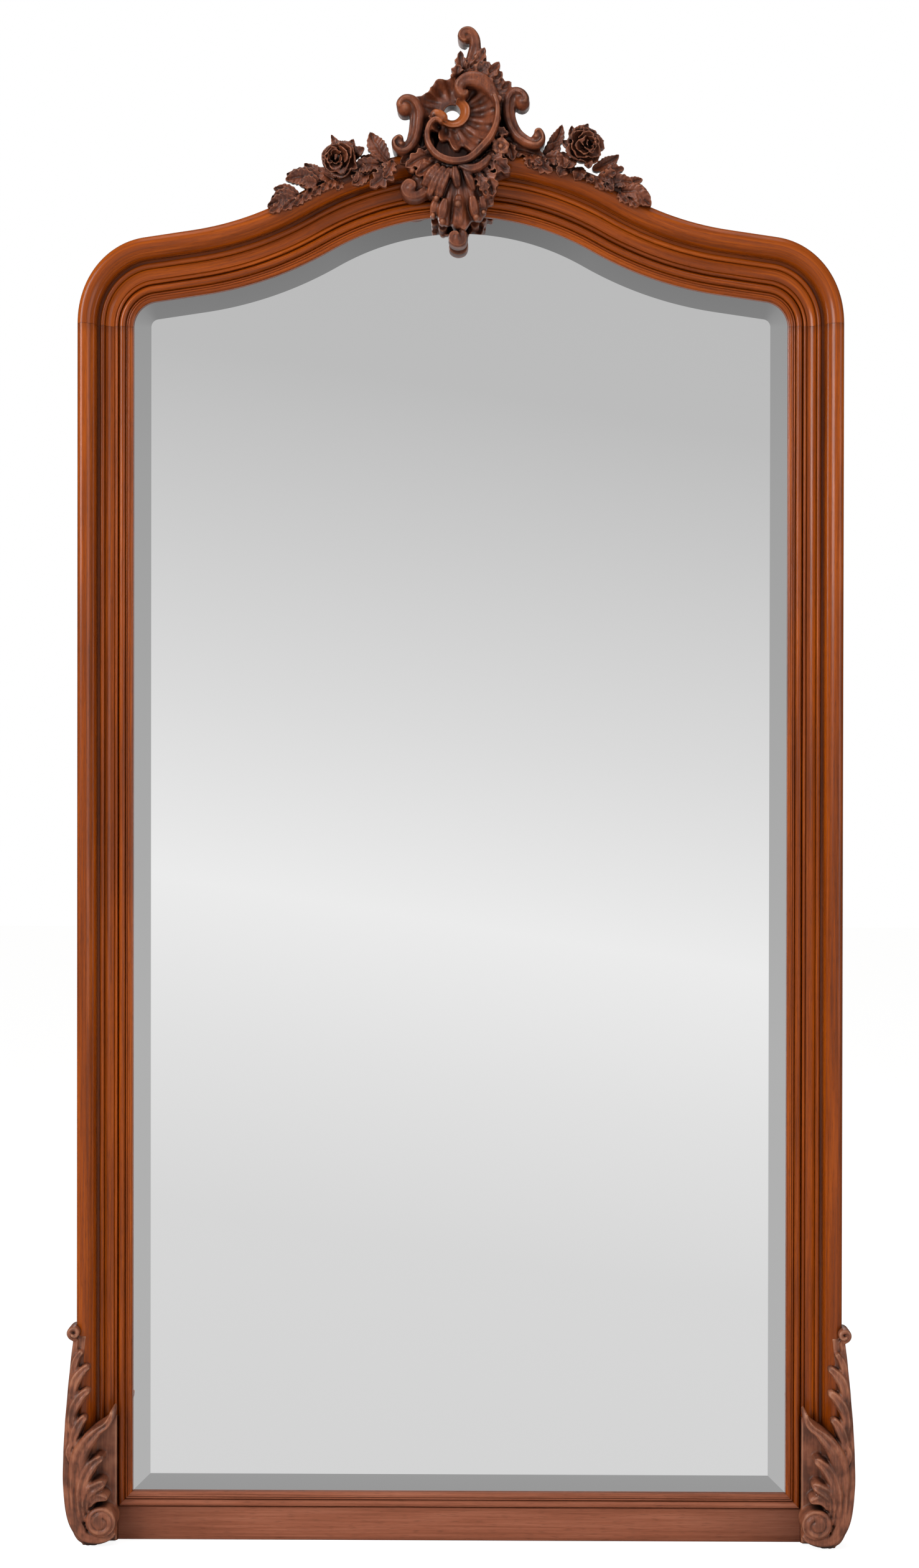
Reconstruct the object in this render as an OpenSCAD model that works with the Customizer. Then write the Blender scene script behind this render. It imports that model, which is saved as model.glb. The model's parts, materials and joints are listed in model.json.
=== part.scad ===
// Carved walnut mirror: moulded stiles, arched top rail, bevelled plate, pierced crest and carved feet.
// X runs to the right, Y runs back to the wall and Z runs up. The feet stand on Z = 0.
// A "height" in the comments is the distance that something stands out from the wall.

/* [Opening] */
// Half the width of the opening, from its middle to the sight edge
sight_half = 457; // [440:1:520]
// Height of the seam between stile and top rail, where the arch springs
spring_z = 1696; // [1400:1:1900]

/* [Arch] */
// Radius of the rounded crown along the sight edge
crown_r = 370; // [345:1:395]
// Slope where the crown turns into the hollow sweep
crown_a = 29.7; // [28:0.1:31.5]
// Radius of the hollow sweep along the sight edge
sweep_r = 504; // [470:1:540]
// Slope where the hollow sweep meets the shoulder
sweep_a = 8.5; // [7:0.1:10]
// Radius of the shoulder along the sight edge
shoulder_r = 36; // [30:1:48]
// Width of the top rail over the crown
arch_w = 85; // [78:1:92]

/* [Stile and rail section] */
// Width of a stile
stile_w = 74; // [70:0.5:82]
// Height of the outer band
frame_t = 60; // [54:0.5:68]
// Height of the sight lip
lip_h = 27; // [25:0.5:31]
// Rounding of the sight lip
lip_r = 4; // [3:0.1:5]
// Wood between the lip's front and the plate
lip_t = 6; // [5.5:0.1:7]
// Width of the small moulding that is mitred round the opening's foot
sight_moulding_w = 20; // [19:0.1:22]
// Radius of the two reeds beside the lip
reed_r = 1.3; // [1:0.05:1.5]
// Radius of the small torus beside the reeds
torus_r = 4.2; // [3.8:0.1:4.4]
// Radius of the fine bead outside the torus
fine_bead_r = 2.2; // [1.8:0.1:2.6]
// Radius of the hollow between the two beads
hollow_r = 12.5; // [11:0.1:13.5]
// Radius of the bead beside the groove
bead_r = 3.2; // [2.6:0.1:3.6]
// Width of the flat groove inside the outer band
groove_w = 3.3; // [2.5:0.1:4]
// Rounding of the outer band's outside edge
band_round = 8.5; // [6:0.1:11]
// Height of the plain face of the bottom rail
fascia_h = 47; // [40:1:60]

/* [Plate and rebates] */
// Thickness of the plate
plate_t = 6; // [5:0.1:7]
// Cover of the plate behind the sight edge
plate_lap = 7; // [5:0.1:8]
// Width of the bevel that shows inside the sight edge
bevel_w = 25; // [18:0.5:32]
// Thickness that the bevel takes off the plate's edge
bevel_drop = 3.2; // [2:0.1:3.8]
// Width of the rebate for the plate
rebate_w = 9; // [8.5:0.1:10.5]
// Width of the wider rebate for the back frame
back_rebate_w = 20; // [18:0.1:20]
// Depth of the wider rebate
back_rebate_d = 12; // [11:0.1:12.5]
// Length of one block that holds the plate
block_l = 60; // [30:1:90]

/* [Back frame] */
// Thickness of the back frame
back_t = 11; // [10:0.1:11.8]
// Gap between the back frame and its rebate
back_gap = 1.5; // [0.5:0.1:2.5]
// Width of the stiles of the back frame
back_stile_w = 80; // [60:1:110]
// Width of the rails of the back frame
back_rail_w = 84; // [60:1:110]
// Width of the muntins of the back frame
muntin_w = 64; // [50:1:90]
// Height of the arched board's ends, from its straight foot to the spring of the arch
board_end = 58; // [40:1:90]
// Thickness of a back panel
panel_t = 5; // [4:0.1:6]
// Depth of the grooves that hold the panels
groove_d = 8; // [6:0.1:10]
// Gap between a panel's edge and the foot of its groove
panel_gap = 1; // [0.5:0.1:2]
// Radius of a back screw
back_screw_r = 1.75; // [1.5:0.05:2]
// Depth of a back screw below the back frame's front
back_screw_bite = 9; // [6:0.5:11]

/* [Joints and hangers] */
// Width of the bottom rail's tenon
tenon_w = 34; // [24:1:38]
// Length of the bottom rail's tenon
tenon_l = 36; // [24:1:44]
// Thickness of the bottom rail's tenon
tenon_t = 10; // [8:0.5:12]
// Radius of a head dowel
dowel_r = 6; // [4:0.25:7]
// Length of a head dowel
dowel_l = 70; // [50:1:90]
// Drop of the hangers below the seam between stile and top rail
hanger_drop = 96; // [90:1:300]
// Width of a hanger plate
hanger_w = 36; // [30:1:44]
// Length of a hanger plate
hanger_l = 64; // [54:1:80]
// Thickness of a hanger plate
hanger_t = 2.5; // [2:0.1:3]
// Radius of the round end of a hanger's keyhole
keyhole_r = 6; // [5:0.1:7]
// Half the width of the keyhole's slot
keyslot_r = 3; // [2.5:0.1:3.5]
// Radius of a hanger screw
hanger_screw_r = 2; // [1.5:0.05:2.25]
// Length of a hanger screw
hanger_screw_l = 20; // [14:1:24]

/* [Carvings] */
// Rise of the crest above the crown of the top rail
crest_rise = 166; // [150:1:185]
// Height of the crest's foremost scroll
relief_h = 98; // [92:0.5:106]
// Height of the crest's flat back
crest_back_h = 14; // [12:0.5:16]
// Radius of the hole pierced through the crest's shell
pierce_r = 11.5; // [9:0.1:13]
// Width of the batten behind the crest
batten_w = 58; // [44:1:66]
// Lap of the batten on the top rail
batten_lap = 52; // [40:1:60]
// Rise of the batten above the crown of the top rail
batten_rise = 30; // [24:1:34]
// Radius of a batten screw
batten_screw_r = 2.25; // [1.75:0.05:2.5]
// Width of the garlands' broadest leaf
garland_leaf = 26; // [23.5:0.5:28.5]
// Radius of a rose
rose_r = 27; // [24:0.5:30]
// Rise of the foot carving above the floor
foot_rise = 308; // [270:1:340]
// Bulge of the foot carving beyond the stile's side
foot_bulge = 15; // [10:0.5:20]
// Height of the foot carving's volute
foot_h = 80; // [74:0.5:88]
// Glue line between a carving and the top rail
glue_gap = 0.1; // [0.1:0.05:0.5]

/* [Hidden] */
$fn = 48;

walnut = "#8a4a22";
dark_walnut = "#5f3520";
back_wood = "#b08a5c";
steel = "#8c8f94";
silvered = "#cfd6da";

// Places that follow from the driving sizes
wall_y = relief_h / 2;
sight_z = fascia_h + sight_moulding_w;
plate_seat_h = lip_h - lip_t;
outer_half = sight_half + stile_w;
swell = arch_w / stile_w;
crown_dx = crown_r * sin(crown_a) + sweep_r * (sin(crown_a) - sin(sweep_a));
shoulder_dx = shoulder_r * (1 - sin(sweep_a));
flat_l = (sight_half - crown_dx - shoulder_dx) / cos(sweep_a);
shoulder_top_z = spring_z + shoulder_r * cos(sweep_a);
sweep_end_z = shoulder_top_z + flat_l * sin(sweep_a);
apex_z = sweep_end_z + sweep_r * (cos(sweep_a) - cos(crown_a)) + crown_r * (1 - cos(crown_a));
crown_c = [0, apex_z - crown_r];
sweep_c = crown_c + (crown_r + sweep_r) * [sin(crown_a), cos(crown_a)];
shoulder_c = [sight_half - shoulder_r, spring_z];
crown_z = apex_z + arch_w;

// General geometry
function lerp(a, b, t) = a + (b - a) * t;
function arc(c, r, a0, a1, n) = [for (i = [0:n]) c + r * [cos(lerp(a0, a1, i / n)), sin(lerp(a0, a1, i / n))]];
function oval(c, rx, ry, a0, a1, n) =
    [for (i = [0:n]) c + [rx * cos(lerp(a0, a1, i / n)), ry * sin(lerp(a0, a1, i / n))]];
function swing(c, r, a) = c + r * [sin(a), cos(a)];
function ease(t) = t * t * (3 - 2 * t);
function hump(t) = sin(180 * t);

// Point number i of a smooth curve through the points p, at the share t of its span
function knot(p, i) = p[max(0, min(len(p) - 1, i))];
function curve_point(p, i, t) = 0.5 * (
    2 * knot(p, i)
    + (knot(p, i + 1) - knot(p, i - 1)) * t
    + (2 * knot(p, i - 1) - 5 * knot(p, i) + 4 * knot(p, i + 1) - knot(p, i + 2)) * t * t
    + (3 * knot(p, i) - knot(p, i - 1) - 3 * knot(p, i + 1) + knot(p, i + 2)) * t * t * t);
function curve(p, steps) = concat(
    [for (i = [0:len(p) - 2], k = [0:steps - 1]) curve_point(p, i, k / steps)],
    [p[len(p) - 1]]);
function across(path, i) =
    let (d = path[min(len(path) - 1, i + 1)] - path[max(0, i - 1)]) [-d[1], d[0]] / norm(d);

// Solid skinned over rings of points, closed by a cap at each end or joined into a loop
module loft(rings, loop = false) {
    m = len(rings[0]);
    n = len(rings);
    spans = loop ? n - 1 : n - 2;
    walls = [for (i = [0:spans], j = [0:m - 1])
        let (a = i * m, b = ((i + 1) % n) * m, k = (j + 1) % m)
        each [[a + j, a + k, b + k], [a + j, b + k, b + j]]];
    caps = loop ? [] : [[for (j = [m - 1:-1:0]) j], [for (j = [0:m - 1]) (n - 1) * m + j]];
    polyhedron(points = [for (ring = rings) each ring], faces = concat(walls, caps));
}

// Turns a drawing whose Z is height above the wall into its place in the mirror
module on_wall() {
    translate([0, wall_y, 0]) rotate([90, 0, 0]) children();
}

// Board with its face in the mirror's plane, from height h0 to height h1
module slab(x0, x1, z0, z1, h0, h1) {
    translate([x0, wall_y - h1, z0]) cube([x1 - x0, h1 - h0, z1 - z0]);
}

module bore(x, z, h0, h1, r) {
    translate([x, wall_y - h0, z]) rotate([90, 0, 0]) cylinder(r = r, h = h1 - h0);
}

// Section of the moulding: distance from the sight edge, then height
reed_1 = lip_r + 0.4 + reed_r;
reed_2 = reed_1 + 2 * reed_r + 0.3;
torus_x = sight_moulding_w - 1 - torus_r;
fine_bead_x = sight_moulding_w + 0.5 + fine_bead_r;
hollow_x = fine_bead_x + fine_bead_r + 1.1;
hollow_end = [hollow_x, lip_h + 2 + hollow_r] + hollow_r * [cos(25), -sin(25)];
bead_x = hollow_end[0] + 0.9 + bead_r;
groove_x = bead_x + bead_r + 0.6;
groove_h = lip_h + 7;
band_x = groove_x + groove_w + 0.5;
band_foot_h = groove_h + 6;
band_top_x = stile_w - band_round;
bead_h = lip_h + 9.5;

// Front of the outer band from its inner flank to the outside face, drawn larger by the gap
function band_section(gap) = concat(
    oval([band_top_x, band_foot_h], band_top_x - band_x + gap, frame_t - band_foot_h + gap, 157.5, 90, 3),
    arc([band_top_x, frame_t - band_round], band_round + gap, 60, 0, 2));

sight_section = concat(
    arc([lip_r, lip_h - lip_r], lip_r, 180, 90, 2),
    arc([reed_1, lip_h], reed_r, 180, 0, 2),
    arc([reed_2, lip_h], reed_r, 180, 0, 2),
    [[torus_x - torus_r - 0.2, lip_h - 0.4]],
    arc([torus_x, lip_h + 1.5], torus_r, 180, 0, 4),
    [[sight_moulding_w, lip_h - 0.4]]);

outer_section = concat(
    arc([fine_bead_x, lip_h + 2], fine_bead_r, 180, 0, 3),
    [[hollow_x - 0.6, lip_h + 1.2]],
    arc([hollow_x, lip_h + 2 + hollow_r], hollow_r, -90, -25, 3),
    [hollow_end + [0.6, -1.4]],
    arc([bead_x, bead_h], bead_r, 180, 0, 3),
    [[groove_x, groove_h], [groove_x + groove_w, groove_h], [band_x, band_foot_h]],
    band_section(0));

rebate_section = [
    [back_rebate_w, 0], [back_rebate_w, back_rebate_d], [rebate_w, back_rebate_d],
    [rebate_w, plate_seat_h], [0, plate_seat_h]];

function stile_section(k) = concat(
    [for (p = concat(sight_section, outer_section)) [p[0] * k, p[1]]],
    [[stile_w * k, 0]], rebate_section);

rail_section = concat(
    sight_section,
    [[sight_moulding_w + 1, lip_h + 1.2], [sight_z, lip_h + 1.2], [sight_z, 0]], rebate_section);

// The sight edge of the arch, from the left spring to the right one: place, lean of the outward normal and
// widening of the moulding, which falls to 1 over each shoulder
crown_path = [for (i = [-4:4]) let (a = crown_a * i / 4) [swing(crown_c, crown_r, a), a, swell]];
sweep_path = [for (i = [1:3]) let (a = lerp(crown_a, sweep_a, i / 3)) [swing(sweep_c, -sweep_r, a), a, swell]];
shoulder_path = [for (i = [0:5]) let (a = lerp(sweep_a, 90, i / 5))
    [swing(shoulder_c, shoulder_r, a), a, lerp(swell, 1, ease(i / 5))]];
right_path = concat(sweep_path, shoulder_path);
left_path = [for (i = [len(right_path) - 1:-1:0]) let (q = right_path[i]) [[-q[0][0], q[0][1]], -q[1], q[2]]];
arch_path = concat(left_path, crown_path, right_path);

function arch_point(q, s) = swing(q[0], s, q[1]);
function arch_edge(s) = [for (q = arch_path) arch_point(q, s)];

// The moulded arch in the mirror's plane
module arch_body() {
    loft([for (q = arch_path) [for (p = stile_section(q[2])) [each arch_point(q, p[0]), p[1]]]]);
}

// Seat of the carvings on the arch: clear of the fine moulding, and a glue line off the outer band and the side
function seat_section(k) = [for (p = [
    [-1, plate_seat_h], [-1, lip_h + 0.5], [reed_2 + reed_r, lip_h + reed_r + 1],
    [torus_x - torus_r / 2, lip_h + torus_r + 2], [torus_x + torus_r / 2, lip_h + torus_r + 2],
    [hollow_x, lip_h + fine_bead_r + 3], [hollow_end[0], bead_h + bead_r + glue_gap],
    [band_x, bead_h + bead_r + glue_gap], each band_section(glue_gap), [stile_w + glue_gap, -1], [-1, -1]])
    [p[0] * k, p[1]]];

module arch_seat() {
    loft([for (q = arch_path) [for (p = seat_section(q[2])) [each arch_point(q, p[0]), p[1]]]]);
}

// Upright with the full section, mitred at its foot, for the right-hand side
module stile_body() {
    difference() {
        intersection() {
            translate([0, wall_y, 0]) linear_extrude(height = spring_z)
                polygon([for (p = stile_section(1)) [sight_half + p[0], -p[1]]]);
            translate([0, wall_y, 0]) rotate([90, 0, 0]) linear_extrude(height = frame_t)
                polygon([
                    [sight_half, spring_z], [outer_half, spring_z], [outer_half, 0],
                    [sight_half + sight_moulding_w, 0], [sight_half + sight_moulding_w, fascia_h],
                    [sight_half, sight_z]]);
        }
        tenon(1);
        dowel_pair(dowel_l / 2 + 1);
        hanger_recess();
        for (z = side_screw_z) screw_bore(side_screw_x, z, 0);
    }
}

tenon_h = 14;
tenon_root = 6;

// Right-hand tenon of the bottom rail from its root in the rail, longer by the clearance in its mortise
module tenon(clearance) {
    shoulder_x = sight_half + sight_moulding_w;
    slab(shoulder_x - tenon_root, shoulder_x + tenon_l + clearance,
        (fascia_h - tenon_w) / 2 + 2, (fascia_h + tenon_w) / 2 + 2,
        tenon_h - tenon_t / 2, tenon_h + tenon_t / 2);
}

dowel_x = [sight_half + stile_w * 0.46, sight_half + stile_w * 0.78];
dowel_h = lip_h / 2 + 4;

module dowel_pair(half_l) {
    for (x = dowel_x) translate([x, wall_y - dowel_h, spring_z - half_l]) cylinder(r = dowel_r, h = 2 * half_l);
}

module both_sides() {
    children();
    mirror([1, 0, 0]) children();
}

module left_stile() {
    color(walnut) mirror([1, 0, 0]) stile_body();
}

module right_stile() {
    color(walnut) stile_body();
}

module bottom_rail() {
    reach = sight_half + sight_moulding_w;
    color(walnut) difference() {
        union() {
            intersection() {
                translate([-reach, wall_y, 0]) rotate([90, 0, 90]) linear_extrude(height = 2 * reach)
                    polygon([for (p = rail_section) [-p[1], sight_z - p[0]]]);
                translate([0, wall_y, 0]) rotate([90, 0, 0]) linear_extrude(height = frame_t)
                    polygon([
                        [-reach, 0], [reach, 0], [reach, fascia_h], [sight_half, sight_z],
                        [-sight_half, sight_z], [-reach, fascia_h]]);
            }
            both_sides() tenon(0);
        }
        for (x = foot_screw_x) screw_bore(x, foot_screw_z, 0);
    }
}

module top_rail() {
    color(walnut) difference() {
        on_wall() arch_body();
        both_sides() dowel_pair(dowel_l / 2 + 1);
        batten_board();
        for (p = top_screws) screw_bore(p[0], p[1], 0);
        for (p = batten_screw_places) bore(p[0], p[1], -1, batten_screw_tip, batten_screw_r);
    }
}

module head_dowels() {
    color(back_wood) both_sides() dowel_pair(dowel_l / 2);
}

// Plate, with the bevel as a skin from the outer edge to the flat
plate_front_h = plate_seat_h + bevel_drop * bevel_w / (bevel_w + plate_lap);
plate_back_h = plate_front_h - plate_t;

function plate_ring(s, h) = [for (p = concat(
    arch_edge(s), [[sight_half + s, sight_z - s], [-sight_half - s, sight_z - s]])) [p[0], p[1], h]];

module mirror_glass() {
    color(silvered) on_wall() loft([
        plate_ring(plate_lap, plate_back_h),
        plate_ring(plate_lap, plate_front_h - bevel_drop),
        plate_ring(-bevel_w, plate_front_h)]);
}

// Blocks that press the plate against the lip, along the sides and the foot
block_z = [for (i = [0:3]) lerp(sight_z + 160, spring_z - 160, i / 3)];
block_x = [for (i = [-1:1]) i * sight_half * 0.6];

module glass_blocks() {
    color(back_wood) {
        both_sides() for (z = block_z)
            slab(sight_half + 1, sight_half + rebate_w, z - block_l / 2, z + block_l / 2,
                back_rebate_d, plate_back_h);
        for (x = block_x)
            slab(x - block_l / 2, x + block_l / 2, sight_z - rebate_w, sight_z - 1,
                back_rebate_d, plate_back_h);
    }
}

// Framed back: outline, rails and panels
back_edge = back_rebate_w - back_gap;
back_half = sight_half + back_edge;
back_foot_z = sight_z - back_edge;
board_z = spring_z - board_end;
back_h0 = back_rebate_d - back_t;
back_h1 = back_rebate_d;
groove_h0 = (back_h0 + back_h1 - panel_t) / 2;
groove_h1 = groove_h0 + panel_t;
bay_h = (board_z - back_foot_z - 3 * back_rail_w) / 3;
bay_w = back_half - back_stile_w - muntin_w / 2;
function bay_z(row) = back_foot_z + back_rail_w + row * (bay_h + back_rail_w);

screw_inset = back_rebate_w - rebate_w;
screw_s = rebate_w + screw_inset / 2 - 0.8;
screw_tip_h = back_rebate_d + back_screw_bite;
side_screw_x = sight_half + screw_s;
side_screw_z = [for (i = [0:3]) lerp(sight_z + 90, board_z - 90, i / 3)];
foot_screw_z = sight_z - screw_s;
foot_screw_x = [for (i = [-1:1]) i * sight_half * 0.55];
top_screws = [for (a = [-0.8, 0, 0.8]) swing(crown_c, crown_r + screw_s, a * crown_a)];

module screw_bore(x, z, gap) {
    bore(x, z, back_h0 - 0.5, screw_tip_h + gap, back_screw_r);
    sink(x, z, back_h0, back_screw_r);
}

// Countersunk head, or the seat for one, whose flat lies at height h
module sink(x, z, h, r) {
    translate([x, wall_y - h, z]) rotate([90, 0, 0]) cylinder(r1 = 2 * r, r2 = r, h = r);
}

module screw(x, z, h, tip_h, r) {
    bore(x, z, h, tip_h, r);
    sink(x, z, h, r);
}

module back_stile_body() {
    color(back_wood) difference() {
        union() {
            slab(back_half - back_stile_w, back_half, back_foot_z, board_z, back_h0, back_h1);
            slab(back_half - back_stile_w, back_half, board_z, board_z + groove_d, groove_h0, groove_h1);
        }
        slab(back_half - back_stile_w - 1, back_half - back_stile_w + groove_d, back_foot_z - 1,
            board_z + groove_d + 1, groove_h0, groove_h1);
        for (z = side_screw_z) screw_bore(side_screw_x, z, 1);
    }
}

module back_left_stile() {
    mirror([1, 0, 0]) back_stile_body();
}

module back_right_stile() {
    back_stile_body();
}

// Rail of the back frame between its stiles, with a tongue at each end
module back_rail_body(z, grooved_foot, grooved_top) {
    half = back_half - back_stile_w;
    difference() {
        union() {
            slab(-half, half, z, z + back_rail_w, back_h0, back_h1);
            slab(-half - groove_d, half + groove_d, z, z + back_rail_w, groove_h0, groove_h1);
        }
        if (grooved_foot) slab(-back_half, back_half, z - 1, z + groove_d, groove_h0, groove_h1);
        if (grooved_top) slab(-back_half, back_half, z + back_rail_w - groove_d, z + back_rail_w + 1,
            groove_h0, groove_h1);
    }
}

module back_bottom_rail() {
    color(back_wood) difference() {
        back_rail_body(back_foot_z, false, true);
        for (x = foot_screw_x) screw_bore(x, foot_screw_z, 1);
    }
}

module back_lower_rail() {
    color(back_wood) back_rail_body(bay_z(1) - back_rail_w, true, true);
}

module back_upper_rail() {
    color(back_wood) back_rail_body(bay_z(2) - back_rail_w, true, true);
}

module back_arch_board() {
    color(back_wood) difference() {
        translate([0, wall_y - back_h0, 0]) rotate([90, 0, 0]) linear_extrude(height = back_t)
            polygon(concat(arch_edge(back_edge), [[back_half, board_z], [-back_half, board_z]]));
        slab(-back_half - 1, back_half + 1, board_z - 1, board_z + groove_d, groove_h0, groove_h1);
        for (p = top_screws) screw_bore(p[0], p[1], 1);
    }
}

// Upright between two rails in the middle of the back, with a tongue at each end
module muntin(row) {
    z0 = bay_z(row);
    color(back_wood) difference() {
        union() {
            slab(-muntin_w / 2, muntin_w / 2, z0, z0 + bay_h, back_h0, back_h1);
            slab(-muntin_w / 2 + groove_d, muntin_w / 2 - groove_d, z0 - groove_d, z0 + bay_h + groove_d,
                groove_h0, groove_h1);
        }
        both_sides() slab(muntin_w / 2 - groove_d, muntin_w / 2 + 1, z0 - 1, z0 + bay_h + 1,
            groove_h0, groove_h1);
    }
}

module back_lower_muntin() {
    muntin(0);
}

module back_middle_muntin() {
    muntin(1);
}

module back_upper_muntin() {
    muntin(2);
}

// Thin panel in the grooves of one bay, where side is -1 for left and 1 for right
module panel(row, side) {
    tuck = groove_d - panel_gap;
    x0 = muntin_w / 2 - tuck;
    x1 = muntin_w / 2 + bay_w + tuck;
    color(back_wood) slab(side > 0 ? x0 : -x1, side > 0 ? x1 : -x0,
        bay_z(row) - tuck, bay_z(row) + bay_h + tuck, groove_h0, groove_h1);
}

module lower_left_panel() {
    panel(0, -1);
}

module lower_right_panel() {
    panel(0, 1);
}

module middle_left_panel() {
    panel(1, -1);
}

module middle_right_panel() {
    panel(1, 1);
}

module upper_left_panel() {
    panel(2, -1);
}

module upper_right_panel() {
    panel(2, 1);
}

module back_screws() {
    color(steel) {
        both_sides() for (z = side_screw_z) screw(side_screw_x, z, back_h0, screw_tip_h, back_screw_r);
        for (x = foot_screw_x) screw(x, foot_screw_z, back_h0, screw_tip_h, back_screw_r);
        for (p = top_screws) screw(p[0], p[1], back_h0, screw_tip_h, back_screw_r);
    }
}

// Keyhole hangers let into the stiles
hanger_x = sight_half + back_rebate_w + (stile_w - back_rebate_w) / 2;
hanger_z = spring_z - hanger_drop;
hanger_screw_z = [hanger_z - hanger_l / 2 + 9, hanger_z + hanger_l / 2 - 9];
keyslot_l = 12;

module hanger_recess() {
    slab(hanger_x - hanger_w / 2, hanger_x + hanger_w / 2, hanger_z - hanger_l / 2, hanger_z + hanger_l / 2,
        -1, hanger_t);
    bore(hanger_x, hanger_z, 0, hanger_t + 14, keyhole_r + 1.5);
    bore(hanger_x, hanger_z + keyslot_l, 0, hanger_t + 14, keyhole_r + 1.5);
    for (z = hanger_screw_z) bore(hanger_x, z, 0, hanger_screw_l, hanger_screw_r);
}

module hanger_plates() {
    color(steel) both_sides() difference() {
        slab(hanger_x - hanger_w / 2, hanger_x + hanger_w / 2, hanger_z - hanger_l / 2,
            hanger_z + hanger_l / 2, 0, hanger_t);
        bore(hanger_x, hanger_z, -1, hanger_t + 1, keyhole_r);
        slab(hanger_x - keyslot_r, hanger_x + keyslot_r, hanger_z, hanger_z + keyslot_l, -1, hanger_t + 1);
        bore(hanger_x, hanger_z + keyslot_l, -1, hanger_t + 1, keyslot_r);
        for (z = hanger_screw_z) screw(hanger_x, z, 0, hanger_t + 1, hanger_screw_r);
    }
}

module hanger_screws() {
    color(steel) both_sides() for (z = hanger_screw_z)
        screw(hanger_x, z, 0, hanger_screw_l, hanger_screw_r);
}

// Batten that ties the crest to the top rail
batten_screw_tip = crest_back_h + 18;
batten_screw_places = [
    [-batten_w / 4, crown_z - batten_lap + 14], [batten_w / 4, crown_z - batten_lap + 14],
    [-batten_w / 4, crown_z + batten_rise - 12], [batten_w / 4, crown_z + batten_rise - 12]];

module batten_board() {
    slab(-batten_w / 2, batten_w / 2, crown_z - batten_lap, crown_z + batten_rise, 0, crest_back_h);
}

module crest_batten() {
    color(back_wood) difference() {
        batten_board();
        for (p = batten_screw_places) screw(p[0], p[1], 0, crest_back_h + 1, batten_screw_r);
    }
}

module batten_screws() {
    color(steel) for (p = batten_screw_places) screw(p[0], p[1], 0, batten_screw_tip, batten_screw_r);
}

// Carver's elements, drawn in the mirror's plane with Z as height

// Front of a scroll's section: across the path in shares of half width, then up in shares of the relief
fluted_scroll = [[1, 0.1], [0.55, 1], [0, 0.62], [-0.55, 1], [-1, 0.1]];
ridged_scroll = [[1, 0.1], [0, 1], [-1, 0.1]];

// Scroll with a flat back along a path; w and h are half widths and front heights at start, middle and end
module scroll(path, w, h, relief, back, section = fluted_scroll) {
    n = len(path) - 1;
    loft([for (i = [0:n]) let (
        t = i / n,
        side = across(path, i),
        half = t < 0.5 ? lerp(w[0], w[1], ease(2 * t)) : lerp(w[1], w[2], ease(2 * t - 1)),
        front = t < 0.5 ? lerp(h[0], h[1], ease(2 * t)) : lerp(h[1], h[2], ease(2 * t - 1)))
        concat(
            [[each (path[i] + side * half), back], [each (path[i] - side * half), back]],
            [for (p = section) [each (path[i] - side * half * p[0]), front + relief * (p[1] - 1)]])]);
}

// Turned button in the eye of a volute
module eye(c, r, h0, h1) {
    hull() {
        translate([c[0], c[1], h0]) cylinder(r = r, h = (h1 - h0) * 0.6, $fn = 8);
        translate([c[0], c[1], h0]) cylinder(r = r * 0.45, h = h1 - h0, $fn = 8);
    }
}

// Sections of a leaf: across the midrib in shares of half width, then above its top in shares of width
grooved_leaf = [[1, -0.11], [0.5, 0.06], [0, -0.04], [-0.5, 0.06], [-1, -0.11]];
ridged_leaf = [[1, -0.12], [0, 0.05], [-1, -0.12]];

// Lobed leaf from base to tip with its midrib bent sideways; h holds its heights at base, middle and tip
module leaf(base, tip, w, bend, h, thick, section = grooved_leaf, lobes = 3) {
    n = 2 * lobes;
    d = tip - base;
    side = [-d[1], d[0]] / norm(d);
    rib = [for (i = [0:n]) base + d * i / n + side * bend * hump(i / n)];
    loft([for (i = [0:n]) let (
        t = i / n,
        s = across(rib, i),
        fill = pow(hump(lerp(0.14, 0.97, t)), 0.7),
        half = w / 2 * fill * (i % 2 == 1 || i == 0 ? 1 : 0.72),
        top = t < 0.5 ? lerp(h[0], h[1], ease(2 * t)) : lerp(h[1], h[2], ease(2 * t - 1)))
        concat(
            [[each (rib[i] + s * half), top - thick], [each (rib[i] - s * half), top - thick]],
            [for (k = [len(section) - 1:-1:0])
                [each (rib[i] + s * half * section[k][0]), top + w * section[k][1]]])]);
}

// Plate fanned round a centre between two angles, with a flat back and flutes that ruffle its rim
module fan(c, r_in, reach, a0, a1, n, h_in, h_out, flutes, depth, back) {
    loop = a1 - a0 == 360;
    loft([for (i = [0:loop ? n - 1 : n]) let (
        t = i / n,
        k = t * (len(reach) - 1),
        wave = cos(360 * flutes * t) * depth,
        r = lerp(reach[floor(k)], reach[min(len(reach) - 1, floor(k) + 1)], k - floor(k)) + wave * 0.3,
        u = [cos(lerp(a0, a1, t)), sin(lerp(a0, a1, t))])
        [[each (c + u * r_in), back], [each (c + u * r), back], [each (c + u * r), h_out + wave],
        [each (c + u * lerp(r_in, r, 0.55)), lerp(h_in, h_out, 0.4) + wave / 2],
        [each (c + u * r_in), h_in]]], loop);
}

// Heights of the carvings, drawn for an outer band of 60 and a relief of 98
relief_k = (relief_h - frame_t) / 38;
function front(h) = frame_t + relief_k * (h - 60);
function fronts(heights) = [for (h = heights) front(h)];

// Crest, drawn from the top of the rail's crown for a crest rise of 166
crest_k = crest_rise / 166;
function crest_scale(points) = [for (p = points) crest_k * p];

module crest_place() {
    translate([0, crown_z, 0]) children();
}

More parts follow.
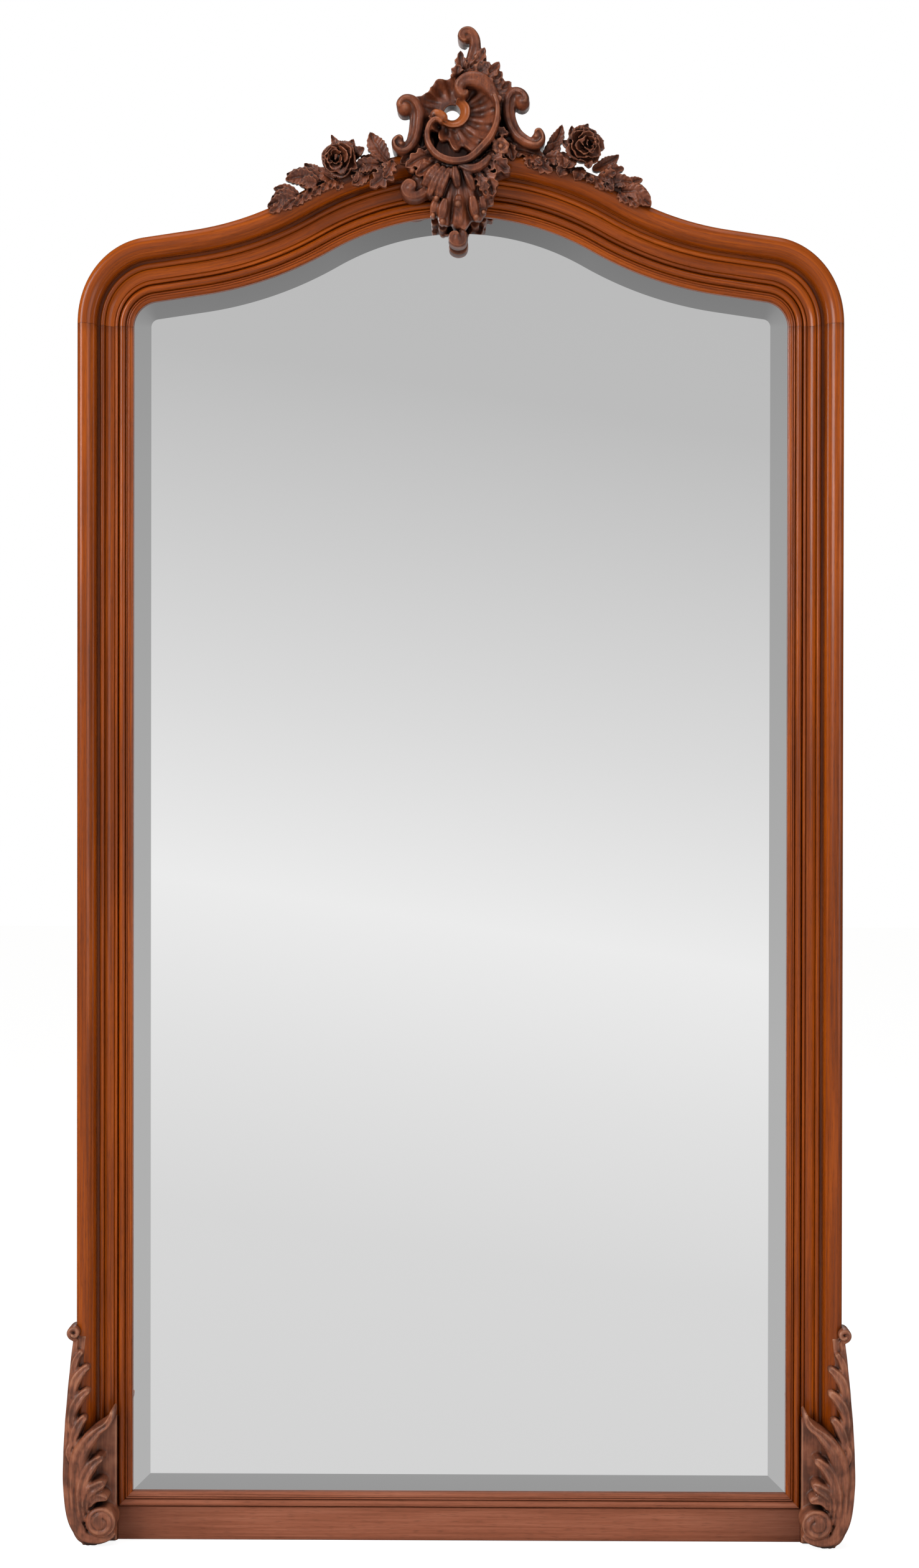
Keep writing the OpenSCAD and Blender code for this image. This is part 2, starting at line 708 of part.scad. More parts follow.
hole_c = [-12, 52];
shell_reach = [75, 72, 60, 47, 50, 55, 46, 46, 64, 68, 78, 84, 75];
ring_c = [4, 34];
ring_reach = [34, 38, 40, 38, 34];
ring_points = [
    [-26, 33], [-25, 42], [-36, 45], [-47, 26], [-42, -2], [-22, -18], [4, -23],
    [30, -14], [48, 14], [48, 50], [32, 78], [11, 82], [4, 70], [12, 70]];
left_scroll_points = [
    [-72, 52], [-78, 46], [-85, 52], [-80, 62], [-66, 59], [-58, 42],
    [-59, 20], [-70, 0], [-87, -5], [-94, 6], [-84, 12], [-82, 4]];
right_scroll_points = [
    [80, 62], [86, 57], [92, 64], [85, 74], [71, 68], [65, 50],
    [70, 25], [86, 7], [105, 4], [113, 15], [103, 22], [101, 14]];
volute_centres = [[-77, 54], [-85, 4], [84, 65], [105, 13]];
finial_points = [
    [4, 84], [9, 102], [14, 118], [21, 131], [25, 144], [22, 155], [13, 160], [4, 156], [3, 148], [10, 145]];
finial_eye = [13, 152];
flower_c = [54, -3];

// Crest leaves: base, tip, width and bend, then heights at base, middle and tip
crest_leaves = [
    [[-62, 42], [-50, 86], 28, 4, [46, 54, 56]], [[-36, -8], [-108, -14], 28, -6, [56, 54, 46]],
    [[44, 8], [128, -16], 28, 6, [54, 54, 44]], [[52, 30], [62, 84], 28, -4, [50, 56, 52]],
    [[14, 112], [34, 133], 16, -3, [56, 62, 54]], [[10, 108], [-3, 131], 15, 2, [56, 60, 54]],
    [[14, 84], [57, 118], 32, -6, [54, 66, 58]], [[22, 76], [68, 104], 30, -5, [54, 62, 56]],
    [[32, 68], [77, 90], 28, -5, [52, 60, 54]], [[26, 82], [-12, 108], 26, -5, [60, 72, 60]]];

// Outline of the crest's block: it ends at a side face for each garland and at the apron's seam below,
// which bulges down round the ring
block_low = [-98, -16];
block_high = [119, 184];
bulge = [2, 26, 57];

module crest_block() {
    k = crest_k;
    crest_place() {
        translate([each (k * block_low), 0]) cube([each (k * (block_high - block_low)), relief_h + 1]);
        translate([k * bulge[0], k * bulge[1], 0]) cylinder(r = k * bulge[2], h = relief_h + 1, $fn = 32);
    }
}

module crest_cartouche() {
    color(dark_walnut) on_wall() difference() {
        intersection() {
            crest_place() crest_carving();
            crest_block();
        }
        arch_seat();
        rotate([-90, 0, 0]) translate([0, -wall_y, 0]) crest_bores();
    }
}

module crest_bores() {
    for (p = batten_screw_places) bore(p[0], p[1], 0, batten_screw_tip, batten_screw_r);
}

module crest_carving() {
    k = crest_k;
    j = relief_k;
    difference() {
        union() {
            fan(k * hole_c, pierce_r - 3, k * shell_reach, 0, 360, 30, front(44), front(50), 10, j * 4,
                crest_back_h);
            fan(k * ring_c, k * 12, k * ring_reach, -135, 75, 15, front(56), front(66), 5, j * 5, front(34));
            scroll(arc(k * hole_c, pierce_r + k * 9, -170, 40, 6), k * [3, 8, 4], fronts([62, 70, 70]), j * 8,
                front(40));
        }
        translate([each (k * hole_c), 0]) cylinder(r = pierce_r, h = relief_h, $fn = 18);
    }
    scroll(curve(crest_scale(ring_points), 2), k * [3, 7, 4], fronts([86, 98, 92]), j * 10, front(46));
    for (points = [left_scroll_points, right_scroll_points])
        scroll(curve(crest_scale(points), 2), k * [4, 11, 4], fronts([80, 72, 80]), j * 14, front(34));
    scroll(curve(crest_scale(finial_points), 2), k * [13, 8, 4.5], fronts([60, 66, 76]), j * 14, front(30));
    for (c = volute_centres) eye(k * c, k * 8, front(34), front(84));
    eye(k * finial_eye, k * 7, front(40), front(78));
    for (item = crest_leaves)
        leaf(k * item[0], k * item[1], k * item[2], k * item[3], fronts(item[4]), j * 28);
    crest_flower();
}

// Small flower of five round petals beside the ring
module crest_flower() {
    c = crest_k * flower_c;
    r = crest_k * 5;
    h0 = front(44);
    for (a = [18:72:306]) let (u = r * [cos(a), sin(a)]) hull() {
        translate([each (c + u), h0]) cylinder(r = r * 0.7, h = relief_k * 26, $fn = 5);
        translate([each (c + 1.6 * u), h0]) cylinder(r = r, h = relief_k * 32, $fn = 6);
    }
    eye(c, r, h0, front(80));
}

// Apron: a fluted shell that hangs from the crest over the rail and the plate, with three leaves and a bud
apron_c = [-2, -12];
apron_reach = [73, 70, 56, 60, 66, 74, 84, 93, 100, 92, 84, 76, 68, 54, 60, 64, 58];
apron_leaves = [[-48, -62], [-10, -98], [34, -62]];
apron_volute_points = [[-66, -54], [-72, -50], [-78, -58], [-70, -66], [-58, -64], [-40, -54]];
apron_eye = [-70, -57];
bud_top = [-4, -98];
bud_c = [-7, -126];

module crest_apron() {
    k = crest_k;
    j = relief_k;
    color(dark_walnut) on_wall() difference() {
        crest_place() {
            fan(k * apron_c, k * 10, k * apron_reach, -172, -8, 32, front(78), front(66), 8, j * 5, front(32));
            for (tip = apron_leaves) leaf(k * [0, -18], k * tip, k * 30, 0, fronts([82, 82, 72]), j * 30);
            hull() {
                translate([each (k * bud_top), front(34)]) cylinder(r = k * 10, h = j * 30, $fn = 10);
                translate([each (k * bud_c), front(38)]) cylinder(r = k * 10, h = j * 18, $fn = 10);
            }
            for (a = [0:72:288]) eye(k * (bud_c + 6 * [cos(a), sin(a)]), k * 4.5, front(40), front(62));
            eye(k * bud_c, k * 4.5, front(39), front(66));
            scroll(curve(crest_scale(apron_volute_points), 2), k * [2.5, 5, 8], fronts([78, 72, 74]), j * 8,
                front(40));
            eye(k * apron_eye, k * 5, front(40), front(74));
        }
        arch_seat();
        crest_block();
    }
}

// Garlands: set by their way along the rail's upper edge from its middle, which grows with the crest that
// they spring from, and by their rise above it
garland_k = garland_leaf / 26;
function round_crown(way, rise) =
    let (r = crown_r + arch_w) swing(crown_c, r + rise * garland_k, way * crest_k / r * 180 / PI);
function sprig(item) = [round_crown(item[0], item[1]), round_crown(item[2], item[3])];

// Each leaf: way and rise of its base, way and rise of its tip, width, bend, height at middle and tip
left_leaves = [
    [-106, -2, -117, 40, 24, 4, 62, 52], [-119, 2, -141, 34, 20, 4, 58, 56],
    [-141, 6, -164, 50, 18, 2, 62, 56], [-214, 4, -198, 30, 20, 3, 60, 54],
    [-222, 4, -259, 24, 22, -4, 60, 54], [-246, 3, -294, 6, 24, 2, 58, 50],
    [-95, 2, -138, -34, 26, 5, 74, 68], [-213, 3, -189, -22, 18, -4, 73, 68],
    [-227, 3, -218, -18, 18, 4, 71, 66], [-246, 2, -249, -15, 18, 3, 70, 66]];
right_leaves = [
    [114, 2, 127, 51, 22, -4, 54, 50], [175, 8, 209, 38, 22, 5, 60, 54], [191, 4, 227, 25, 22, 4, 64, 60],
    [206, 4, 250, 26, 22, 4, 60, 54], [230, 2, 283, 4, 24, -2, 60, 52], [119, 2, 101, -24, 22, 3, 74, 68],
    [127, 2, 135, -20, 20, -4, 73, 68], [151, 2, 170, -20, 20, -4, 72, 67],
    [183, 2, 212, -16, 20, -3, 70, 66]];
stem_ways = [95, 143, 191, 239, 287];

module garland_carving(leaves, side) {
    k = garland_k;
    j = relief_k;
    for (i = [1:4]) hull() for (way = [stem_ways[i - 1], stem_ways[i]])
        translate([each round_crown(side * way, 3), front(28)])
            cylinder(r = k * (8 - way / 64), h = j * (30 - way / 64), $fn = 6);
    for (item = leaves) let (ends = sprig(item))
        leaf(ends[0], ends[1], k * item[4], k * item[5], fronts([item[6] - 4, item[6], item[7]]), j * 16,
            ridged_leaf, 2);
}

module left_garland() {
    color(dark_walnut) on_wall() difference() {
        garland_carving(left_leaves, -1);
        arch_seat();
        rose_seat(left_rose_c);
        crest_block();
    }
}

module right_garland() {
    color(dark_walnut) on_wall() difference() {
        garland_carving(right_leaves, 1);
        arch_seat();
        rose_seat(right_rose_c);
        crest_block();
    }
}

// Roses: petals cupped round a bud, on a round calyx that is let into the garland
left_rose_c = round_crown(-173, 16);
right_rose_c = round_crown(162, 30);
calyx_r = rose_r * 0.7;
calyx_h = front(45);
calyx_top_h = front(56);
petal_t = rose_r * 0.15;

module calyx(c) {
    translate([each c, calyx_h]) cylinder(r = calyx_r, h = calyx_top_h - calyx_h, $fn = 18);
}

module rose_seat(c) {
    calyx(c);
    translate([each c, calyx_top_h]) cylinder(r = rose_r + 1, h = relief_h, $fn = 18);
}

// Ring of cupped petals: number, turn, distance of the lip, half width of the lip and its height
module petals(c, n, turn, reach, spread, top) {
    for (i = [0:n - 1]) let (
        a = turn + 360 * i / n,
        u = [cos(a), sin(a)],
        v = [-sin(a), cos(a)],
        t = petal_t) hull() {
        translate([each (c + u * reach * 0.3), calyx_top_h - 1.5 * t]) cylinder(r = t, h = 2 * t, $fn = 5);
        for (s = [-1, 1]) translate([each (c + u * (reach - t) + v * s * spread), top - 3 * t])
            cylinder(r1 = t / 2, r2 = t, h = (2.75 + s / 4) * t, $fn = 5);
        translate([each (c + u * (reach - 0.75 * t)), top - 3 * t])
            cylinder(r1 = t / 2, r2 = t, h = 2.25 * t, $fn = 5);
    }
}

module rose_body(c, turn) {
    color(dark_walnut) on_wall() difference() {
        union() {
            calyx(c);
            petals(c, 5, turn, rose_r, rose_r * 0.42, front(74));
            petals(c, 3, turn + 30, rose_r * 0.7, rose_r * 0.34, front(83));
            eye(c, rose_r * 0.34, calyx_h, front(88));
        }
        arch_seat();
    }
}

module left_rose() {
    rose_body(left_rose_c, 10);
}

module right_rose() {
    rose_body(right_rose_c, 40);
}

// Foot carving, drawn from the right-hand stile's outside corner for a rise of 308 on a stile 74 wide, with
// heights for a volute that stands 20 above the outer band's 60
foot_k = foot_rise / 308;
foot_w = stile_w / 74;
function foot_point(p) = [outer_half + p[0] * (p[0] > 0 ? foot_bulge / 15 : foot_w), p[1] * foot_k];
function foot_path(points) = [for (p = points) foot_point(p)];
function foot_front(h) = frame_t + (h - 60) * (foot_h - frame_t) / 20;
function foot_heights(heights) = [for (h = heights) foot_front(h)];
foot_contour = [[-12, 0], [1, 8], [11, 34], [15, 80], [14, 140], [9, 212], [1, 290]];
volute_c = [-36, 37];
foot_top = [1, 298];
body_h = frame_t * 0.4;
frond_h = frame_t * 0.8;

// Acanthus fronds that rise from the foot and curl inwards: points, then half widths and front heights
foot_fronds = [
    [[[-18, 8], [4, 42], [10, 100], [7, 190], [1, 296]], [12, 8, 4], [62, 70, 68]],
    [[[-14, 14], [-1, 60], [-3, 110], [-20, 152], [-43, 171], [-53, 194]], [8, 14, 2.5], [72, 80, 84]]];
foot_small_fronds = [
    [[[-14, 40], [-8, 76], [-18, 112], [-32, 127], [-42, 130]], [7, 12, 6], [72, 80, 76]],
    [[[-18, 50], [-15, 74], [-26, 90], [-40, 90]], [6, 11, 6], [72, 80, 78]],
    [[[4, 100], [3, 146], [-8, 172], [-20, 184]], [5, 11, 4.5], [70, 74, 72]],
    [[[5, 140], [2, 186], [-10, 210], [-24, 222]], [5, 11, 4.5], [69, 73, 71]],
    [[[4, 190], [0, 228], [-11, 246], [-24, 256]], [5, 10, 4.5], [68, 72, 70]],
    [[[3, 228], [-1, 262], [-14, 282]], [4, 8, 3], [67, 70, 69]]];

// Thin rounded slice of the carving's side at one point of its contour
module foot_slice(p) {
    q = foot_point(p);
    r = frame_t * 0.15;
    for (h = [r * 1.6, frame_t - r * 0.6]) translate([q[0] - r, q[1], h]) rotate([-90, 0, 0])
        cylinder(r = r, h = 1, $fn = 8);
    translate([outer_half - r * 1.3, q[1], r]) cube([r / 2, 1, frame_t - r]);
}

module foot_carving() {
    w = foot_w;
    difference() {
        union() {
            for (i = [0:len(foot_contour) - 2]) hull() {
                foot_slice(foot_contour[i]);
                foot_slice(foot_contour[i + 1]);
            }
            hull() {
                translate([each foot_point(volute_c), body_h])
                    cylinder(r = w * 20, h = foot_front(68) - body_h, $fn = 20);
                translate([each foot_point([-44, 0]), body_h]) cube([w * 34, w * 4, foot_front(64) - body_h]);
                translate([each foot_point([-12, 44]), body_h])
                    cylinder(r = w * 16, h = foot_front(64) - body_h, $fn = 12);
            }
            scroll([for (i = [0:12]) swing(foot_point(volute_c), w * lerp(16, 3, i / 12), 60 - 40 * i)],
                w * [4, 4, 2], foot_heights([76, 77, 80]), w * 6, foot_front(62), ridged_scroll);
            for (item = foot_fronds)
                scroll(curve(foot_path(item[0]), 2), w * item[1], foot_heights(item[2]), w * 12, frond_h);
            for (item = foot_small_fronds)
                scroll(curve(foot_path(item[0]), 2), w * item[1], foot_heights(item[2]), w * 10, frond_h,
                    ridged_scroll);
            eye(foot_point(foot_top), foot_k * 10, body_h, foot_front(74));
        }
        rotate([-90, 0, 0]) translate([0, -wall_y, 0]) stile_solid();
    }
}

// Stile and rail without their bores, for seating the foot carving
module stile_solid() {
    translate([0, wall_y, 0]) linear_extrude(height = spring_z)
        polygon([for (p = stile_section(1)) [sight_half + p[0], -p[1]]]);
}

module right_foot_carving() {
    color(dark_walnut) on_wall() foot_carving();
}

module left_foot_carving() {
    color(dark_walnut) mirror([1, 0, 0]) on_wall() foot_carving();
}

left_stile();
right_stile();
bottom_rail();
top_rail();
head_dowels();
crest_cartouche();
crest_apron();
crest_batten();
batten_screws();
left_garland();
right_garland();
left_rose();
right_rose();
left_foot_carving();
right_foot_carving();
mirror_glass();
glass_blocks();
back_left_stile();
back_right_stile();
back_bottom_rail();
back_lower_rail();
back_upper_rail();
back_arch_board();
back_lower_muntin();
back_middle_muntin();
back_upper_muntin();
lower_left_panel();
lower_right_panel();
middle_left_panel();
middle_right_panel();
upper_left_panel();
upper_right_panel();
back_screws();
hanger_plates();
hanger_screws();
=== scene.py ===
"""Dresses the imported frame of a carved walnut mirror: mouldings, plate, carvings, back, studio and camera.

Shapes are worked out on the mirror's face in millimetres: u runs to the right, v runs up from the floor and h
stands out from the wall. Meshes are in metres in the frame's own axes.
"""

import json
import logging
from collections.abc import Callable, Sequence
from dataclasses import dataclass
from enum import Enum
from math import ceil, cos, exp, hypot, pi, radians, sin, sqrt

import bmesh
import bpy
from mathutils import Matrix, Vector, noise

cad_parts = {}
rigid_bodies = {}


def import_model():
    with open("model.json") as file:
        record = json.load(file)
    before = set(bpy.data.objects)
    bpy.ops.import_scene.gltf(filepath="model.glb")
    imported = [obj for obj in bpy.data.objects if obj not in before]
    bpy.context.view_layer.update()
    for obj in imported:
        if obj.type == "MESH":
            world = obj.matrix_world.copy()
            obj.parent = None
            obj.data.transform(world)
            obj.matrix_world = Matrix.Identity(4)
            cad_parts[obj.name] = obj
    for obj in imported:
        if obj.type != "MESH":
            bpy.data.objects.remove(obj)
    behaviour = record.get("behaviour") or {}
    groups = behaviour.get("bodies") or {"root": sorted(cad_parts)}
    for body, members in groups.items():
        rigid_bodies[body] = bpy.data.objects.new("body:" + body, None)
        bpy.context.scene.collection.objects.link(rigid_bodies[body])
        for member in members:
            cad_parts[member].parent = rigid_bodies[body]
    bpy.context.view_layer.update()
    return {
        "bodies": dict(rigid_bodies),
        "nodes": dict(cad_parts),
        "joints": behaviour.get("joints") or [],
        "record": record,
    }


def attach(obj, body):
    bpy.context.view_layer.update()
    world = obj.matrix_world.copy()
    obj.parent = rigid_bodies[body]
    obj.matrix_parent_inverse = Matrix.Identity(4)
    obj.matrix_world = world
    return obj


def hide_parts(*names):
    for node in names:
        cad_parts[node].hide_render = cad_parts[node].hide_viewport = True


log = logging.getLogger("mirror")

WALL_Y = 49.0
BODY = "root"

Point = tuple[float, float]
Mark = tuple[float, float, float]  # distance from the sight edge, height, depth of dirt and painted shade
Station = tuple[float, Callable[[float], Point], float]  # run along the grain, finder of places, added dirt and painted shade
Spray = tuple[Point, Point, float, float, float, float]  # base, tip, width, bend, lobes, rise
Sepal = tuple[Point, Point, float]  # base, tip, width
Tree = bpy.types.NodeTree
Socket = bpy.types.NodeSocket


def on_face(u: float, v: float, h: float) -> Vector:
    """Turns a place on the mirror's face into one in the frame.

    Args:
        u: millimetres to the right of the middle.
        v: millimetres above the floor.
        h: millimetres out from the wall.

    Returns:
        The place in metres.
    """
    return Vector((u, WALL_Y - h, v)) * 0.001


def lerp(a: float, b: float, t: float) -> float:
    """Returns the value at share t between a and b."""
    return a + (b - a) * t


def ease(t: float) -> float:
    """Returns a share that starts and ends gently."""
    t = min(max(t, 0.0), 1.0)
    return t * t * (3 - 2 * t)


def hump(t: float) -> float:
    """Returns 0 at both ends of a share and 1 in its middle."""
    return sin(pi * min(max(t, 0.0), 1.0))


def through(values: Sequence[float], t: float) -> float:
    """Eases through evenly spaced values.

    Args:
        values: the values from start to end.
        t: the share of the way.

    Returns:
        The value at that share.
    """
    place = min(max(t, 0.0), 1.0) * (len(values) - 1)
    index = min(int(place), len(values) - 2)
    return lerp(values[index], values[index + 1], ease(place - index))


def curve(points: Sequence[Point], steps: int = 8) -> list[Point]:
    """Draws a smooth curve through points.

    Args:
        points: the points in order.
        steps: the pieces between two points.

    Returns:
        The curve's points.
    """
    last = len(points) - 1
    found = []
    for index in range(last):
        a, b, c, d = (Vector(points[min(max(index + k, 0), last)]) for k in (-1, 0, 1, 2))
        for step in range(steps):
            t = step / steps
            found.append(tuple(0.5 * (2 * b + (c - a) * t + (2 * a - 5 * b + 4 * c - d) * t * t
                                      + (3 * b - a - 3 * c + d) * t ** 3)))
    return found + [tuple(points[last])]


def even(points: Sequence[Point], count: int) -> list[Point]:
    """Spaces points evenly along a line.

    Args:
        points: the line's points.
        count: the pieces wanted.

    Returns:
        The new points, one more than the pieces.
    """
    runs = [0.0]
    for a, b in zip(points, points[1:]):
        runs.append(runs[-1] + hypot(b[0] - a[0], b[1] - a[1]))
    found = []
    index = 0
    for step in range(count + 1):
        want = runs[-1] * step / count
        while index < len(points) - 2 and runs[index + 1] < want:
            index += 1
        t = (want - runs[index]) / max(runs[index + 1] - runs[index], 1e-9)
        found.append((lerp(points[index][0], points[index + 1][0], t),
                      lerp(points[index][1], points[index + 1][1], t)))
    return found


def sides(path: Sequence[Point]) -> list[Vector]:
    """Finds the direction across a path at each of its points.

    Args:
        path: the path's points.

    Returns:
        The directions, to its left.
    """
    last = len(path) - 1
    found = []
    for index in range(last + 1):
        along = Vector(path[min(index + 1, last)]) - Vector(path[max(index - 1, 0)])
        found.append(Vector((-along.y, along.x)).normalized())
    return found


def sided(side: int, name: str) -> str:
    """Returns the name of a left (-1) or right (1) piece."""
    return ("left_" if side < 0 else "right_") + name


def outward(lean: float) -> Vector:
    """Returns the direction on the face that leans some degrees from upright to the right."""
    return Vector((sin(radians(lean)), cos(radians(lean))))


def baked(name: str, bm: bmesh.types.BMesh) -> bpy.types.Mesh:
    """Turns a mesh in the making into a mesh and frees it.

    Args:
        name: the mesh's name.
        bm: the mesh in the making.

    Returns:
        The mesh.
    """
    mesh = bpy.data.meshes.new(name)
    bm.to_mesh(mesh)
    bm.free()
    return mesh


def linked(name: str, data: bpy.types.ID) -> bpy.types.Object:
    """Makes an object of its data and links it to the scene.

    Args:
        name: the object's name.
        data: its mesh, lamp or camera.

    Returns:
        The object.
    """
    made = bpy.data.objects.new(name, data)
    bpy.context.scene.collection.objects.link(made)
    return made


class Work:
    """A mesh in the making, with a map of its grain in metres and a note of its hollows."""

    button_cells: tuple[int, int] = (24, 12)

    def __init__(self) -> None:
        """Starts an empty mesh."""
        self.bm = bmesh.new()
        self.grain = self.bm.loops.layers.uv.new("grain")
        self.hollow = self.bm.verts.layers.float.new("hollow")

    def skin(self, across: int, along: int, place: Callable[[float, float], Vector],
             notes: Callable[[float, float], tuple[float, Point]] | None = None) -> None:
        """Bends a grid into a skin, closes its seam and fills its open ends.

        Args:
            across: the cells round the section.
            along: the cells along the path.
            place: gives the place at shares of both.
            notes: gives the depth of the hollow and the place in the grain at shares of both.
        """
        verts = bmesh.ops.create_grid(self.bm, x_segments=across, y_segments=along, size=1.0)["verts"]
        faces = {face for vert in verts for face in vert.link_faces}
        for vert in verts:
            shares = ((vert.co.x + 1) / 2, (vert.co.y + 1) / 2)
            if notes:
                vert[self.hollow], chart = notes(*shares)
                for loop in vert.link_loops:
                    loop[self.grain].uv = chart
            vert.co = place(*shares)
        bmesh.ops.remove_doubles(self.bm, verts=verts, dist=2e-6)
        edges = {edge for face in faces if face.is_valid for edge in face.edges if edge.is_boundary}
        if edges:
            bmesh.ops.holes_fill(self.bm, edges=list(edges), sides=0)

    def button(self, u: float, v: float, h: float, r: float, rise: float) -> None:
        """Adds a domed button on a short stem.

        Args:
            u: its middle, to the right.
            v: its middle, above the floor.
            h: the height of its foot.
            r: its radius.
            rise: how far it stands out from its foot.
        """
        def place(s: float, t: float) -> Vector:
            """Places a corner of the button.

            Args:
                s: the share of the way round.
                t: the share of the way from its foot to its top.

            Returns:
                Its place in the frame.
            """
            turn = 2 * pi * s
            lean = pi / 2 * ease((t - 0.3) / 0.7)
            out = r * cos(lean)
            up = rise * (0.55 * min(t / 0.3, 1) + 0.45 * sin(lean))
            return on_face(u + out * cos(turn), v + out * sin(turn), h + up)

        self.skin(*self.button_cells, place)

    def finish(self, name: str, slot: str, nodes: Sequence[str], material: bpy.types.Material,
               crease: float = 40.0) -> bpy.types.Object:
        """Turns the work into a piece of the mirror.

        Args:
            name: the piece's name.
            slot: the record's material slot; not used.
            nodes: the CAD nodes that it stands for.
            material: its finish.
            crease: degrees past which an edge stays sharp.

        Returns:
            The new object.
        """
        bmesh.ops.recalc_face_normals(self.bm, faces=self.bm.faces[:])
        mesh = baked(name, self.bm)
        for polygon in mesh.polygons:
            polygon.use_smooth = True
        mesh.set_sharp_from_angle(angle=radians(crease))
        mesh.materials.append(material)
        piece = linked(name, mesh)
        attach(piece, BODY)
        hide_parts(*nodes)
        log.info("%s: %d faces", name, len(mesh.polygons))
        return piece


def colour(code: str) -> tuple[float, float, float, float]:
    """Turns an sRGB hex colour into linear light.

    Args:
        code: the colour as #rrggbb.

    Returns:
        Red, green, blue and alpha.
    """
    parts = [int(code[i:i + 2], 16) / 255 for i in (1, 3, 5)]
    return *(c / 12.92 if c <= 0.04045 else ((c + 0.055) / 1.055) ** 2.4 for c in parts), 1.0


def add(tree: Tree, kind: str, feeds: dict[int | str, object] | None = None,
        **settings: object) -> bpy.types.Node:
    """Adds a shader node with its settings and links.

    Args:
        tree: the node tree.
        kind: the node's type.
        feeds: a value, or a socket to link, for each named or numbered input.
        settings: the node's own settings.

    Returns:
        The new node.
    """
    made = tree.nodes.new(kind)
    for key, value in settings.items():
        setattr(made, key, value)
    for key, value in (feeds or {}).items():
        if isinstance(value, Socket):
            tree.links.new(value, made.inputs[key])
        else:
            made.inputs[key].default_value = value
    return made


def blank(name: str) -> tuple[bpy.types.Material, Tree, bpy.types.Node]:
    """Starts a material.

    Args:
        name: the material's name.

    Returns:
        The material, its node tree and its output node.
    """
    material = bpy.data.materials.new(name)
    material.use_nodes = True
    tree = material.node_tree
    tree.nodes.clear()
    return material, tree, tree.nodes.new("ShaderNodeOutputMaterial")


def calc(tree: Tree, operation: str, *values: object) -> Socket:
    """Adds a sum of up to three values or sockets and returns its result."""
    return add(tree, "ShaderNodeMath", dict(enumerate(values)), operation=operation).outputs[0]


def stretch(tree: Tree, feed: Socket, low: float, high: float, start: float,
           end: float) -> Socket:
    """Stretches a value from one range over another.

    Args:
        tree: the node tree.
        feed: the value.
        low: the value that gives start.
        high: the value that gives end.
        start: the result at low.
        end: the result at high.

    Returns:
        The result.
    """
    return add(tree, "ShaderNodeMapRange", {0: feed, 1: low, 2: high, 3: start, 4: end}).outputs[0]


def mixed(tree: Tree, share: object, first: object, second: object,
          blend: str = "MIX") -> Socket:
    """Mixes two colours.

    Args:
        tree: the node tree.
        share: the share of the second, as a value or socket.
        first: the first colour or its socket.
        second: the second colour or its socket.
        blend: how they mix.

    Returns:
        The mixed colour.
    """
    return add(tree, "ShaderNodeMix", {0: share, 6: first, 7: second}, data_type="RGBA",
               blend_type=blend).outputs[2]


def ramp(tree: Tree, feed: Socket, *stops: tuple[float, str]) -> Socket:
    """Turns a value into colours.

    Args:
        tree: the node tree.
        feed: the value.
        stops: the places and sRGB hex colours in order.

    Returns:
        The colour.
    """
    made = add(tree, "ShaderNodeValToRGB", {0: feed})
    found = made.color_ramp.elements
    for stop, (place, code) in zip((found[0], found[1]), (stops[0], stops[-1])):
        stop.position, stop.color = place, colour(code)
    for place, code in stops[1:-1]:
        found.new(place).color = colour(code)
    return made.outputs[0]


def cloudy(tree: Tree, place: Socket, scale: Sequence[float] | float, detail: float,
           rough: float = 0.5, bend: float = 0.0) -> Socket:
    """Adds an uneven pattern.

    Args:
        tree: the node tree.
        place: the coordinates.
        scale: the pattern's cells in a metre, one number or one for each axis.
        detail: its finer layers.
        rough: how strong these are.
        bend: how far they bend it.

    Returns:
        The pattern's value, from 0 to 1.
    """
    if isinstance(scale, Sequence):
        place, scale = add(tree, "ShaderNodeMapping", {0: place, "Scale": scale}).outputs[0], 1.0
    return add(tree, "ShaderNodeTexNoise", {0: place, "Scale": scale, "Detail": detail, "Roughness": rough,
                                            "Distortion": bend}).outputs[0]


def openness(tree: Tree, distance: float) -> Socket:
    """Returns how open a place is within a distance in metres, from 0 in a deep cut to 1 in the open."""
    return add(tree, "ShaderNodeAmbientOcclusion", {"Distance": distance}, samples=8,
               inside=False).outputs["AO"]


class Grain(Enum):
    """The way that a board's grain runs."""

    CHART = "along the piece's own map"
    UP = "up the mirror"
    ACROSS = "across the mirror"


